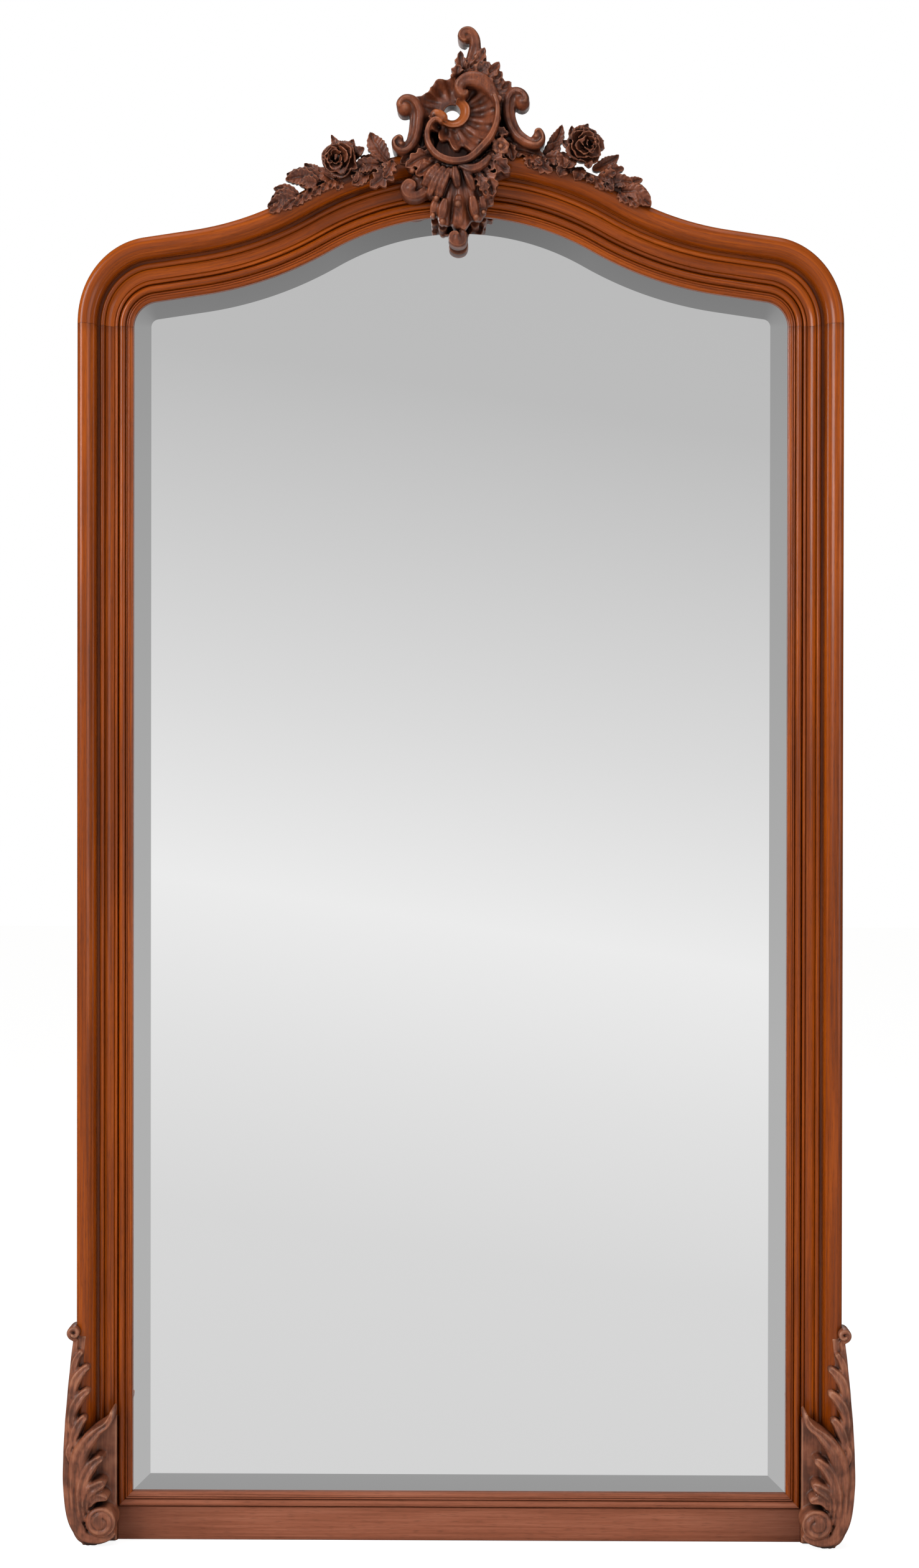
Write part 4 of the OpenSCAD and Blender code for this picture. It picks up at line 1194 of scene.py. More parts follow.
    def shell(self, c: Point, r_in: float, reach: Sequence[float], a0: float, a1: float, top: Sequence[float],
              flutes: float, depth: float, thick: float, ruffle: float = 0.08, twist: float = 0.0,
              count: int = 96) -> None:
        """Adds a fluted shell round a centre, open in its middle.

        Args:
            c: its centre.
            r_in: its inner radius.
            reach: its rim's radii from the first angle to the last.
            a0: its first angle in degrees.
            a1: its last angle in degrees.
            top: its heights from the inside to the rim.
            flutes: the flutes between both angles.
            depth: the depth of a flute at the rim.
            thick: its thickness.
            ruffle: how far the flutes push the rim out, as a share of its radius.
            twist: degrees by which the flutes swing on their way out.
            count: the cells round it.
        """
        along = self.shell_out + THIN_CELLS

        def place(s: float, t: float) -> Vector:
            """Places a corner of the shell.

            Args:
                s: the share of the way round.
                t: the share of the way out over the front and back behind.

            Returns:
                Its place in the frame.
            """
            out, behind = around(round(t * along), self.shell_out)
            span = len(reach) - 1
            spot = s * span
            index = min(int(spot), span - 1)
            rim = lerp(reach[index], reach[index + 1], ease(spot - index))
            wave = cos(2 * pi * flutes * s)
            sharp = abs(wave) ** 0.6 * (1 if wave > 0 else -1)
            r = lerp(r_in, rim * (1 + ruffle * wave * out), out)
            turn = radians(lerp(a0, a1, s) + twist * out)
            height = through(top, out) + depth * sharp * out ** 1.3 - thick * behind
            return on_face(c[0] + r * cos(turn), c[1] + r * sin(turn), height)

        self.skin(count, along, place)

    def petal(self, c: Point, turn: float, reach: float, spread: float, top: Sequence[float],
              thick: float = 2.6, wave: float = 0.0, seed: float = 0.0, tilt: float = 0.0) -> None:
        """Adds a cupped petal.

        Args:
            c: the flower's middle.
            turn: the petal's direction in degrees.
            reach: how far its lip stands from the middle.
            spread: half the angle that its lip takes, in degrees.
            top: its heights from its foot to its lip.
            thick: its thickness.
            wave: how ragged its lip is.
            seed: shifts its ragged lip.
            tilt: how far the flower leans forward for each millimetre to the right.
        """
        count = self.petal_front + THIN_CELLS

        def place(s: float, t: float) -> Vector:
            """Places a corner of the petal.

            Args:
                s: the share of the way round its thin section.
                t: the share of the way from foot to lip.

            Returns:
                Its place in the frame.
            """
            share, behind = around(round(s * count), self.petal_front)
            y = lerp(-1, 1, share)
            lip = 1 + wave * noise.noise(Vector((y * 2.4, seed, 0.3))) * t
            r = reach * lerp(0.12, 1.0, t ** 0.8) * lip * (1 - 0.16 * y * y * t)
            angle = radians(turn + y * spread * (0.5 + 0.5 * t))
            crease = 1.4 * exp(-(y / 0.22) ** 2) * t
            height = through(top, t) + 2.5 * y * y * t - crease - thick * behind + tilt * r * cos(angle)
            return on_face(c[0] + r * cos(angle), c[1] + r * sin(angle), height)

        self.skin(count, self.petal_along, place)

    def fuse(self, name: str, nodes: Sequence[str], material: bpy.types.Material, voxel_mm: float = 1.2,
             polish: Callable[[Vector], float] | None = None) -> bpy.types.Object:
        """Fuses the strokes into one skin, softens it and notes its hollows and ridges.

        Args:
            name: the piece's name.
            nodes: the CAD nodes that it stands for.
            material: its finish.
            voxel_mm: the size of the cells that fuse the strokes.
            polish: tells how highly a place is polished, from 0 to 1.

        Returns:
            The new object.
        """
        bmesh.ops.recalc_face_normals(self.bm, faces=self.bm.faces[:])
        rough = baked(name + "_strokes", self.bm)
        block = linked(name + "_strokes", rough)
        joiner = block.modifiers.new("fuse", "REMESH")
        joiner.mode = "VOXEL"
        joiner.voxel_size = voxel_mm * 0.001
        solid = bpy.data.meshes.new_from_object(block.evaluated_get(bpy.context.evaluated_depsgraph_get()))
        bpy.data.objects.remove(block)
        bpy.data.meshes.remove(rough)
        self.bm = bmesh.new()
        self.bm.from_mesh(solid)
        bpy.data.meshes.remove(solid)
        self.hollow = self.bm.verts.layers.float.new("hollow")
        gloss = self.bm.verts.layers.float.new("polish")
        self.soften(*self.rounding)
        kept = [vert.co.copy() for vert in self.bm.verts]
        self.bm.normal_update()
        outward = [vert.normal.copy() for vert in self.bm.verts]
        self.soften(*self.levelling)
        for vert, co, normal in zip(self.bm.verts, kept, outward):
            sunk = (vert.co - co).dot(normal) / (self.full_hollow * voxel_mm)
            vert[self.hollow] = min(max(sunk, -1.0), 1.0)
            vert.co = co
            vert[gloss] = polish(co) if polish else 0.0
        return self.finish(name, "carved_walnut", nodes, material, 180.0)

    def soften(self, rounds: int, factor: float) -> None:
        """Rounds the skin off.

        Args:
            rounds: how often.
            factor: how far each vertex moves towards its neighbours.
        """
        for _ in range(rounds):
            bmesh.ops.smooth_vert(self.bm, verts=self.bm.verts[:], factor=factor, use_axis_x=True,
                                  use_axis_y=True, use_axis_z=True)


@dataclass
class Crest:
    """The pierced shell with its ring, C scrolls, leaves, finial and small flower."""

    arch: Arch
    finish: CarvedWood = CARVED
    hole: Point = (-12.0, 52.0)
    hole_r: float = 11.5

    def polished(self, place: Vector) -> float:
        """Tells how highly a place is polished: the funnel round the hole is rubbed bright.

        Args:
            place: the place in the frame.

        Returns:
            The share of polish.
        """
        u, v = place.x * 1000 - self.hole[0], place.z * 1000 - self.hole[1] - self.arch.crown_v()
        h = WALL_Y - place.y * 1000
        return ease((27 - hypot(u, v)) / 5) * ease((h - 50) / 8) * ease((16 - v) / 10)

    def shells(self, work: Carving) -> None:
        """Adds the pierced plate, the ruffled shell in the ring and the funnel with its tongue.

        Args:
            work: the carving in the making.
        """
        hole = self.arch.lift([self.hole])[0]
        rim = (75, 75, 74, 72, 69, 65, 60, 54, 49, 47, 47, 49.5, 46.5, 42, 48, 54, 51.5, 48, 46, 45, 45, 46,
               52, 58, 64, 66, 67, 68, 71, 75, 78, 81, 83, 84, 81, 78, 75)
        work.shell(hole, self.hole_r, rim, 0, 360, (48, 44, 56), 14, 3.4, 34, 0.02, 8, 216)
        work.shell(hole, self.hole_r + 2, (32, 37, 42, 48, 58, 66, 67, 64, 64, 64, 62, 58), -172, 44,
                   (60, 64, 80), 9, 7.5, 18, 0.09, 14, 190)
        work.shell(hole, self.hole_r, (15, 21, 24, 25, 26, 26, 25, 22, 16), -178, 66, (56, 66, 71), 0, 0.0,
                   20, 0.0, 0, 60)
        work.scroll([(hole[0] + u, hole[1] + v) for u, v in ((-30, -9), (-23, -6), (-14, -9), (-7, -15))],
                    (3, 6.5, 7, 5), (74, 77, 75, 71), 7, 44, 0.0)
        for c, r, h in (((-12, -2), 22, 63), ((62, 12), 20, 60), ((-54, 8), 18, 60), ((58, 60), 14, 52),
                        ((10, 98), 16, 58)):
            work.shell(self.arch.lift([c])[0], 0.5, (r, r), 0, 360, (h, h), 0, 0.0, h - 24, 0.0, 0, 48)

    def scrolls(self, work: Carving) -> None:
        """Adds the big ring, both C scrolls with the eyes of their volutes, and the finial.

        Args:
            work: the carving in the making.
        """
        work.scroll(self.arch.lift([(-25, 30), (-29, 34), (-36, 35), (-43, 27), (-46, 13), (-42, -2),
                                    (-31, -15), (-16, -22), (-1, -23), (13, -19), (27, -6), (40, 9), (48, 26),
                                    (51, 43), (50, 58), (45, 71)]),
                    (3.5, 3.6, 4.2, 4.6, 5, 5.2, 5, 4.4, 3.6, 3.4), (88, 92, 95, 97, 97, 96, 94, 92, 90), 9,
                    44, 0.25)
        work.scroll(self.arch.lift([(50, 56), (45, 70), (37, 81), (27, 88), (15, 90), (4, 87), (-2, 79),
                                    (1, 71), (7, 71), (8, 77)]),
                    (4, 7, 9, 11, 10, 8, 5, 3.5), (86, 88, 91, 94, 96, 96, 93, 90), 10, 44, 0.2, hatch=1.6,
                    ribs=0.2)
        work.scroll(self.arch.lift([(-80, 52), (-82, 58), (-75, 64), (-66, 61), (-60, 50), (-60, 35),
                                    (-62, 20), (-67, 6), (-77, -4), (-87, -2), (-90, 6), (-84, 11),
                                    (-80, 7)]),
                    (6, 8, 10, 10.5, 10.5, 10, 8.5, 6.5, 5, 4), (88, 84, 80, 77, 76, 77, 80, 84, 87, 89), 12,
                    26, 0.42, groove_at=0.42, ribs=0.16)
        work.scroll(self.arch.lift([(84, 58), (88, 64), (82, 72), (73, 73), (67, 64), (66, 48), (70, 32),
                                    (79, 17), (92, 7), (104, 3), (112, 10), (108, 20), (102, 16)]),
                    (6, 8, 9.5, 9.5, 9, 8.5, 8, 6.5, 5, 4), (88, 84, 80, 77, 76, 77, 80, 84, 87, 89), 12, 26,
                    0.42, groove_at=-0.42, ribs=0.16)
        for u, v, r in ((-77, 53, 10.5), (-82, 3, 6.0), (85, 61, 10.5), (104, 13, 6.0)):
            work.button(*self.arch.lift([(u, v)])[0], 44, r, 40)
        work.scroll(self.arch.lift([(10, 92), (14, 110), (17, 126), (20, 138), (19, 150), (13, 158), (5, 158),
                                    (1, 152), (5, 147), (9, 149)]), (10, 10, 9, 8.5, 7.5, 6.5, 5.5, 4.5),
                    (64, 68, 72, 76, 80, 82, 83, 82), 11, 34, 0.25)
        work.button(*self.arch.lift([(9, 150)])[0], 48, 7.5, 30)

    def leaves(self, work: Carving) -> None:
        """Adds the leaves round the finial, the ring and the volutes, and the small flower.

        Args:
            work: the carving in the making.
        """
        for base, tip, width, bend, top in (
                ((8, 96), (0, 132), 20, 3, (66, 72, 70)), ((12, 108), (33, 137), 17, -4, (68, 76, 72)),
                ((18, 104), (34, 124), 15, -3, (68, 74, 68)), ((2, 92), (-2, 112), 22, 4, (64, 78, 76)),
                ((4, 96), (40, 116), 26, -6, (68, 82, 76)), ((14, 90), (54, 117), 24, -5, (64, 78, 70)),
                ((22, 84), (58, 104), 22, -4, (62, 76, 68)), ((26, 78), (60, 94), 22, -4, (62, 76, 68)),
                ((32, 72), (70, 91), 24, -4, (60, 74, 66)), ((38, 60), (66, 80), 22, -4, (60, 72, 64)),
                ((-34, -6), (-84, -22), 26, -5, (66, 70, 64)), ((46, 0), (118, -12), 24, 5, (60, 64, 58)),
                ((44, 14), (66, 16), 16, 4, (72, 80, 78)), ((60, 8), (72, -18), 20, 3, (64, 70, 64))):
            work.leaf(*self.arch.lift([base, tip]), width, bend, top, 18, 4, 0.42, 4, 3.5, 2.8)
        flower = self.arch.lift([(55, -1)])[0]
        for index in range(6):
            work.petal(flower, 12 + 60 * index, 13, 27, (74, 81, 80), 8)
        work.button(*flower, 68, 4.2, 16)

    def build(self) -> None:
        """Builds the crest in one piece."""
        work = Carving()
        self.shells(work)
        self.scrolls(work)
        self.leaves(work)
        work.fuse("crest_carved", ["crest_cartouche"], self.finish.material(), 1.4, self.polished)


@dataclass
class Apron:
    """The shell that hangs from the crest over the rail, with gadroons, curled lobes and a bud."""

    arch: Arch
    finish: CarvedWood = CARVED

    def build(self) -> None:
        """Builds the apron in one piece."""
        work = Carving()
        rim = (70, 70, 66, 62, 66, 76, 87, 93, 94, 90, 84, 76, 71, 62, 65, 72, 64)
        work.shell(self.arch.lift([(-2, -14)])[0], 6, rim, -172, -8, (80, 74, 62), 10, 3.6, 14, 0.05, 4, 170)
        for points, half, top, hatch in (
                ([(-28, -24), (-41, -39), (-51, -55)], (4, 6.5, 5), (86, 90, 80), 1.8),
                ([(-21, -28), (-34, -47), (-43, -67)], (4, 6.5, 5.5), (88, 91, 80), 1.8),
                ([(-13, -30), (-24, -51), (-31, -71)], (4, 6.5, 5.5), (88, 91, 80), 1.8),
                ([(-8, -28), (-6, -44), (-3, -58)], (4, 6.5, 4.5), (90, 92, 84), 0.0),
                ([(4, -32), (12, -46), (19, -62)], (4, 6, 4.5), (88, 90, 80), 0.0),
                ([(-4, -26), (14, -33), (30, -27), (42, -12)], (4, 6.5, 6, 4), (88, 93, 91, 84), 0.0),
                ([(-20, -70), (-24, -84), (-26, -101)], (5, 8, 6), (78, 76, 70), 0.0),
                ([(-32, -68), (-36, -80), (-38, -92)], (4, 6, 4.5), (74, 72, 66), 0.0),
                ([(16, -66), (18, -80), (21, -96)], (5, 7.5, 6), (78, 76, 70), 0.0),
                ([(28, -66), (31, -77), (32, -88)], (4, 6, 4.5), (74, 72, 66), 0.0),
                ([(-3, -66), (-2, -82), (-3, -98), (-4, -112)], (5, 7, 8, 9), (80, 80, 74, 66), 0.0),
                ([(-40, -50), (-50, -60), (-61, -66), (-73, -65), (-78, -56), (-72, -48), (-64, -51),
                  (-65, -58)],
                 (6, 7, 6.5, 5.5, 4.5, 3.5), (70, 73, 76, 78, 78), 0.0),
                ([(-1, -112), (5, -119), (4, -129), (-4, -132), (-12, -128), (-12, -119), (-6, -117),
                  (-3, -122)],
                 (6, 5, 4.5, 4, 3.5), (64, 66, 68, 69, 70), 0.0)):
            work.scroll(self.arch.lift(points), half, top, 9, 36, 0.2, hatch=hatch)
        for base, tip, width, bend, top in (
                ((-30, -10), (-76, -30), 26, -4, (74, 80, 76)), ((-28, -16), (-62, -40), 26, 2, (76, 82, 76)),
                ((30, -14), (68, -38), 28, 3, (76, 82, 78)), ((24, -30), (45, -70), 28, 4, (78, 82, 74)),
                ((34, -8), (64, -22), 22, 2, (74, 80, 72)), ((20, -36), (36, -70), 18, 3, (80, 84, 76))):
            work.leaf(*self.arch.lift([base, tip]), width, bend, top, 16, 4, 0.4, 5, 3.5, 2.8)
        for u, v, r, h in ((-57, -47, 12, 52), (-69, -57, 7, 60), (-66, -33, 4.5, 62), (64, -36, 5, 62),
                           (37, -67, 5, 60), (-3, -80, 5.5, 68), (-33, -72, 4, 66), (-25, -102, 5, 56),
                           (22, -96, 5, 56), (-38, -93, 4, 54), (32, -89, 4, 54), (-5, -124, 8, 50)):
            work.button(*self.arch.lift([(u, v)])[0], h, r, 18)
        work.fuse("apron_carved", ["crest_apron"], self.finish.material(), 1.1)


@dataclass
class Garland:
    """Leaves along the rail's upper edge, set by their places beside and below the top of its outer edge."""

    arch: Arch
    name: str
    leaves: Sequence[Spray]
    stem: Sequence[Point]
    finish: CarvedWood = CARVED

    def level(self, point: Point) -> float:
        """Tells how far out a leaf lies: behind the rail's face above its edge and on the face below it.

        Args:
            point: a place beside and below the top of the rail's outer edge.

        Returns:
            The height out from the wall.
        """
        rise = (hypot(point[0], point[1] + self.arch.crown_r + self.arch.rail_w)
                - self.arch.crown_r - self.arch.rail_w)
        return lerp(56.0, 68.0, ease((8 - rise) / 16))

    def build(self) -> None:
        """Builds the garland in one piece."""
        work = Carving()
        work.scroll(self.arch.lift(self.stem), (7, 6, 3), (62, 64, 60), 8, 26, 0.0)
        for base, tip, width, bend, lobes, rise in self.leaves:
            low, high = self.level(base) + rise, self.level(tip) + rise
            work.leaf(*self.arch.lift([base, tip]), width * 1.12, bend,
                      (low - 2, (low + high) / 2 + 6, high + 3), 12, lobes, 0.5 if lobes < 5 else 0.2, 4, 3.4,
                      2.0)
        work.fuse(self.name + "_carved", [self.name], self.finish.material(), 1.0)


@dataclass
class Rose:
    """A full-blown rose that is turned to one side, with ragged petals and pointed sepals."""

    arch: Arch
    name: str
    c: Point
    side: int
    sepals: Sequence[Sepal]
    r: float = 26.0
    finish: CarvedWood = CARVED

    def build(self) -> None:
        """Builds the rose in one piece."""
        work = Carving()
        base = self.arch.crown_v()
        rings = ((5, 1.0, 46, (62, 70, 76), 10.0), (4, 0.84, 50, (62, 78, 84), 50.0),
                 (3, 0.64, 58, (62, 84, 90), 100.0), (3, 0.42, 58, (60, 84, 92), 40.0),
                 (2, 0.22, 80, (60, 78, 88), 0.0))
        for ring, (count, share, spread, top, turn) in enumerate(rings):
            c = (self.c[0] + self.side * 9 * (1 - share), self.c[1] + base)
            for index in range(count):
                work.petal(c, self.side * turn + 360 * index / count, self.r * share, spread, top, 3.4, 0.34,
                           ring * 7.3 + index * 1.7 + self.side, -0.45 * self.side)
        work.button(self.c[0], self.c[1] + base, 40, self.r * 0.7, 20)
        for root, tip, width in self.sepals:
            work.leaf((root[0], root[1] + base), (tip[0], tip[1] + base), width, 2, (66, 78, 74), 9, 6, 0.15,
                      4, 3.0, 1.4)
        work.fuse(self.name + "_carved", [self.name], self.finish.material(), 0.9)


@dataclass
class FootCarving:
    """Acanthus with a volute round the foot of a stile."""

    arch: Arch
    side: int
    finish: CarvedWood = CARVED_FOOT
    volute: Point = (-36.0, 37.0)
    volute_r: float = 21.0

    def at(self, points: Sequence[Point]) -> list[Point]:
        """Moves points from the stile's outside corner to the mirror's middle."""
        corner = self.arch.sight_half + self.arch.stile_w
        return [(self.side * (corner + u), v) for u, v in points]

    def body(self, work: Carving) -> None:
        """Adds the rounded side that wraps the stile, from the floor to the top curl.

        Args:
            work: the carving in the making.
        """
        rows = 60
        edge = even(curve([(-14, 1), (1, 8), (11, 34), (15, 73), (15, 116), (13, 151), (10, 204), (5, 250),
                           (1, 292)]), rows)
        section = [(0.0, 15.0), (0.0, 30.0), (0.0, 44.0), (-0.6, 52.0), (-2.6, 57.0), (-6.0, 60.0),
                   (-11.0, 61.0), (-15.0, 60.5), (-15.0, 38.0), (-15.0, 15.0)]

        def place(s: float, t: float) -> Vector:
            """Places a corner of the side.

            Args:
                s: the share round the section.
                t: the share along the path.

            Returns:
                Its place in the frame.
            """
            out, v = edge[round(t * rows)]
            across, h = section[round(s * len(section)) % len(section)]
            u, _ = self.at([(out + across, v)])[0]
            return on_face(u, v, h)

        work.skin(len(section), rows, place)

    def ground(self, work: Carving) -> None:
        """Adds the plain ground below the big leaf, which covers the stile's beads.

        Args:
            work: the carving in the making.
        """
        section = [(-53.8, 20.0), (-9.0, 20.0), (-9.0, 62.0), (-13.0, 61.5), (-19.0, 58.5), (-23.0, 53.5),
                   (-27.0, 42.0), (-53.8, 41.0)]

        def place(s: float, t: float) -> Vector:
            """Places a corner of the ground.

            Args:
                s: the share round the section.
                t: the share along the path.

            Returns:
                Its place in the frame.
            """
            out, h = section[round(s * len(section)) % len(section)]
            u, v = self.at([(out, lerp(1.5, 178.0 if out < -50 else 132.0 - out * 0.5, t))])[0]
            return on_face(u, v, h)

        work.skin(len(section), 12, place)

    def drum(self, work: Carving) -> None:
        """Adds the volute's drum, whose face has a thin spiral groove.

        Args:
            work: the carving in the making.
        """
        c = self.at([self.volute])[0]
        r = self.volute_r
        cells = (72, 40)

        def place(s: float, t: float) -> Vector:
            """Places a corner of the drum.

            Args:
                s: the share of the way round.
                t: the share of the way from its foot to the middle of its face.

            Returns:
                Its place in the frame.
            """
            turn = 2 * pi * s
            out = r if t <= 0.25 else r * (1 - (t - 0.25) / 0.75)
            h = lerp(24, 72, t / 0.25) if t <= 0.25 else 72 + 6 * sqrt(max(0.0, 1 - (out / r) ** 4))
            share = ((turn / (2 * pi) - 0.3) % 1.0)
            for lap in range(2):
                groove = r * (0.30 + 0.42 * (share + lap))
                h -= 3.2 * exp(-((out - groove) / 1.5) ** 2) if groove < r * 1.02 and t > 0.25 else 0.0
            return on_face(c[0] + self.side * out * cos(turn), c[1] + out * sin(turn), h)

        work.skin(*cells, place)

    def build(self) -> None:
        """Builds the foot carving in one piece."""
        work = Carving()
        self.body(work)
        self.ground(work)
        self.drum(work)
        for points, half, top, groove in (
                ([(-54, 24), (-46, 14), (-28, 11), (-10, 18), (3, 42), (9, 90), (9, 150), (6, 210), (2, 262),
                  (-1, 292)],
                 (5, 9, 9, 9, 8, 7, 6, 5, 4), (66, 70, 72, 70, 69, 69, 68, 68, 68), 0.2),
                ([(-14, 18), (-2, 44), (0, 84), (-4, 118), (-15, 144), (-32, 164), (-44, 173), (-51, 184),
                  (-53, 195)],
                 (6, 7, 8, 10, 12, 10, 6, 2.4), (70, 73, 75, 78, 82, 85, 86, 88), 0.4),
                ([(-12, 34), (-8, 66), (-13, 96), (-24, 116), (-39, 127)], (5, 6.5, 9, 9.5, 6),
                 (72, 76, 80, 80, 76), 0.4),
                ([(-16, 46), (-15, 66), (-23, 82), (-42, 92)], (5, 6.5, 9.5, 7), (73, 78, 82, 78), 0.4),
                ([(-20, 56), (-24, 66), (-34, 72), (-46, 68)], (4, 6, 7, 4), (74, 78, 79, 76), 0.3),
                ([(5, 120), (2, 150), (-6, 172), (-16, 184)], (4, 7, 8.5, 5.5), (72, 76, 77, 74), 0.35),
                ([(6, 156), (3, 190), (-8, 210), (-20, 220)], (4, 7, 8.5, 5.5), (71, 75, 76, 73), 0.35),
                ([(6, 194), (1, 228), (-9, 244), (-20, 253)], (4, 7, 8, 5), (70, 74, 75, 72), 0.35),
                ([(4, 232), (0, 258), (-10, 274)], (3.5, 6, 4), (69, 72, 71), 0.3),
                ([(2, 150), (8, 136), (6, 118)], (4, 5, 3), (76, 78, 74), 0.2)):
            work.scroll(self.at(points), half, top, 9, 40, groove)
        ball = self.at([(1, 298)])[0]
        work.scroll([(ball[0] + self.side * lerp(8.5, 2.0, i / 16) * sin(radians(200 - 30 * i)),
                      ball[1] + lerp(8.5, 2.0, i / 16) * cos(radians(200 - 30 * i))) for i in range(17)],
                    (3.6, 3.4, 2.6), (70, 74, 77), 4, 34, 0.0, 3)
        work.button(*ball, 30, 7.5, 40)
        name = sided(self.side, "foot_carving")
        work.fuse(name + "_carved", [name], self.finish.material(), 1.3)


@dataclass
class BackFrame:
    """The framed back, blocks, dowels and fittings, which keep their CAD shapes."""

    frame: dict
    upright: Sequence[str] = (
        "head_dowels", "back_left_stile", "back_right_stile", "back_lower_muntin", "back_middle_muntin",
        "back_upper_muntin", "lower_left_panel", "lower_right_panel", "middle_left_panel",
        "middle_right_panel", "upper_left_panel", "upper_right_panel", "crest_batten", "glass_blocks")
    lying: Sequence[str] = ("back_bottom_rail", "back_lower_rail", "back_upper_rail", "back_arch_board")
    steel: Sequence[str] = ("back_screws", "hanger_plates", "hanger_screws", "batten_screws")

    def build(self) -> None:
        """Gives each node its finish."""
        for names, finish in ((self.upright, BACK_UP), (self.lying, BACK_ACROSS), (self.steel, Steel())):
            material = finish.material()
            for name in names:
                for place in self.frame["nodes"][name].material_slots:
                    place.material = material
                log.info("%s: %s", name, material.name)


@dataclass(frozen=True)
class Lamp:
    """A square soft lamp, aimed at the mirror's middle."""

    name: str
    place: tuple[float, float, float]
    size: float
    power: float
    aim: tuple[float, float, float] = (0.0, 0.0, 1.05)

    def hang(self) -> None:
        """Adds the lamp to the scene."""
        data = bpy.data.lights.new(self.name, "AREA")
        data.size = self.size
        data.energy = self.power
        lamp = linked(self.name, data)
        lamp.location = self.place
        lamp.rotation_euler = (Vector(self.aim) - Vector(self.place)).to_track_quat("-Z", "Y").to_euler()


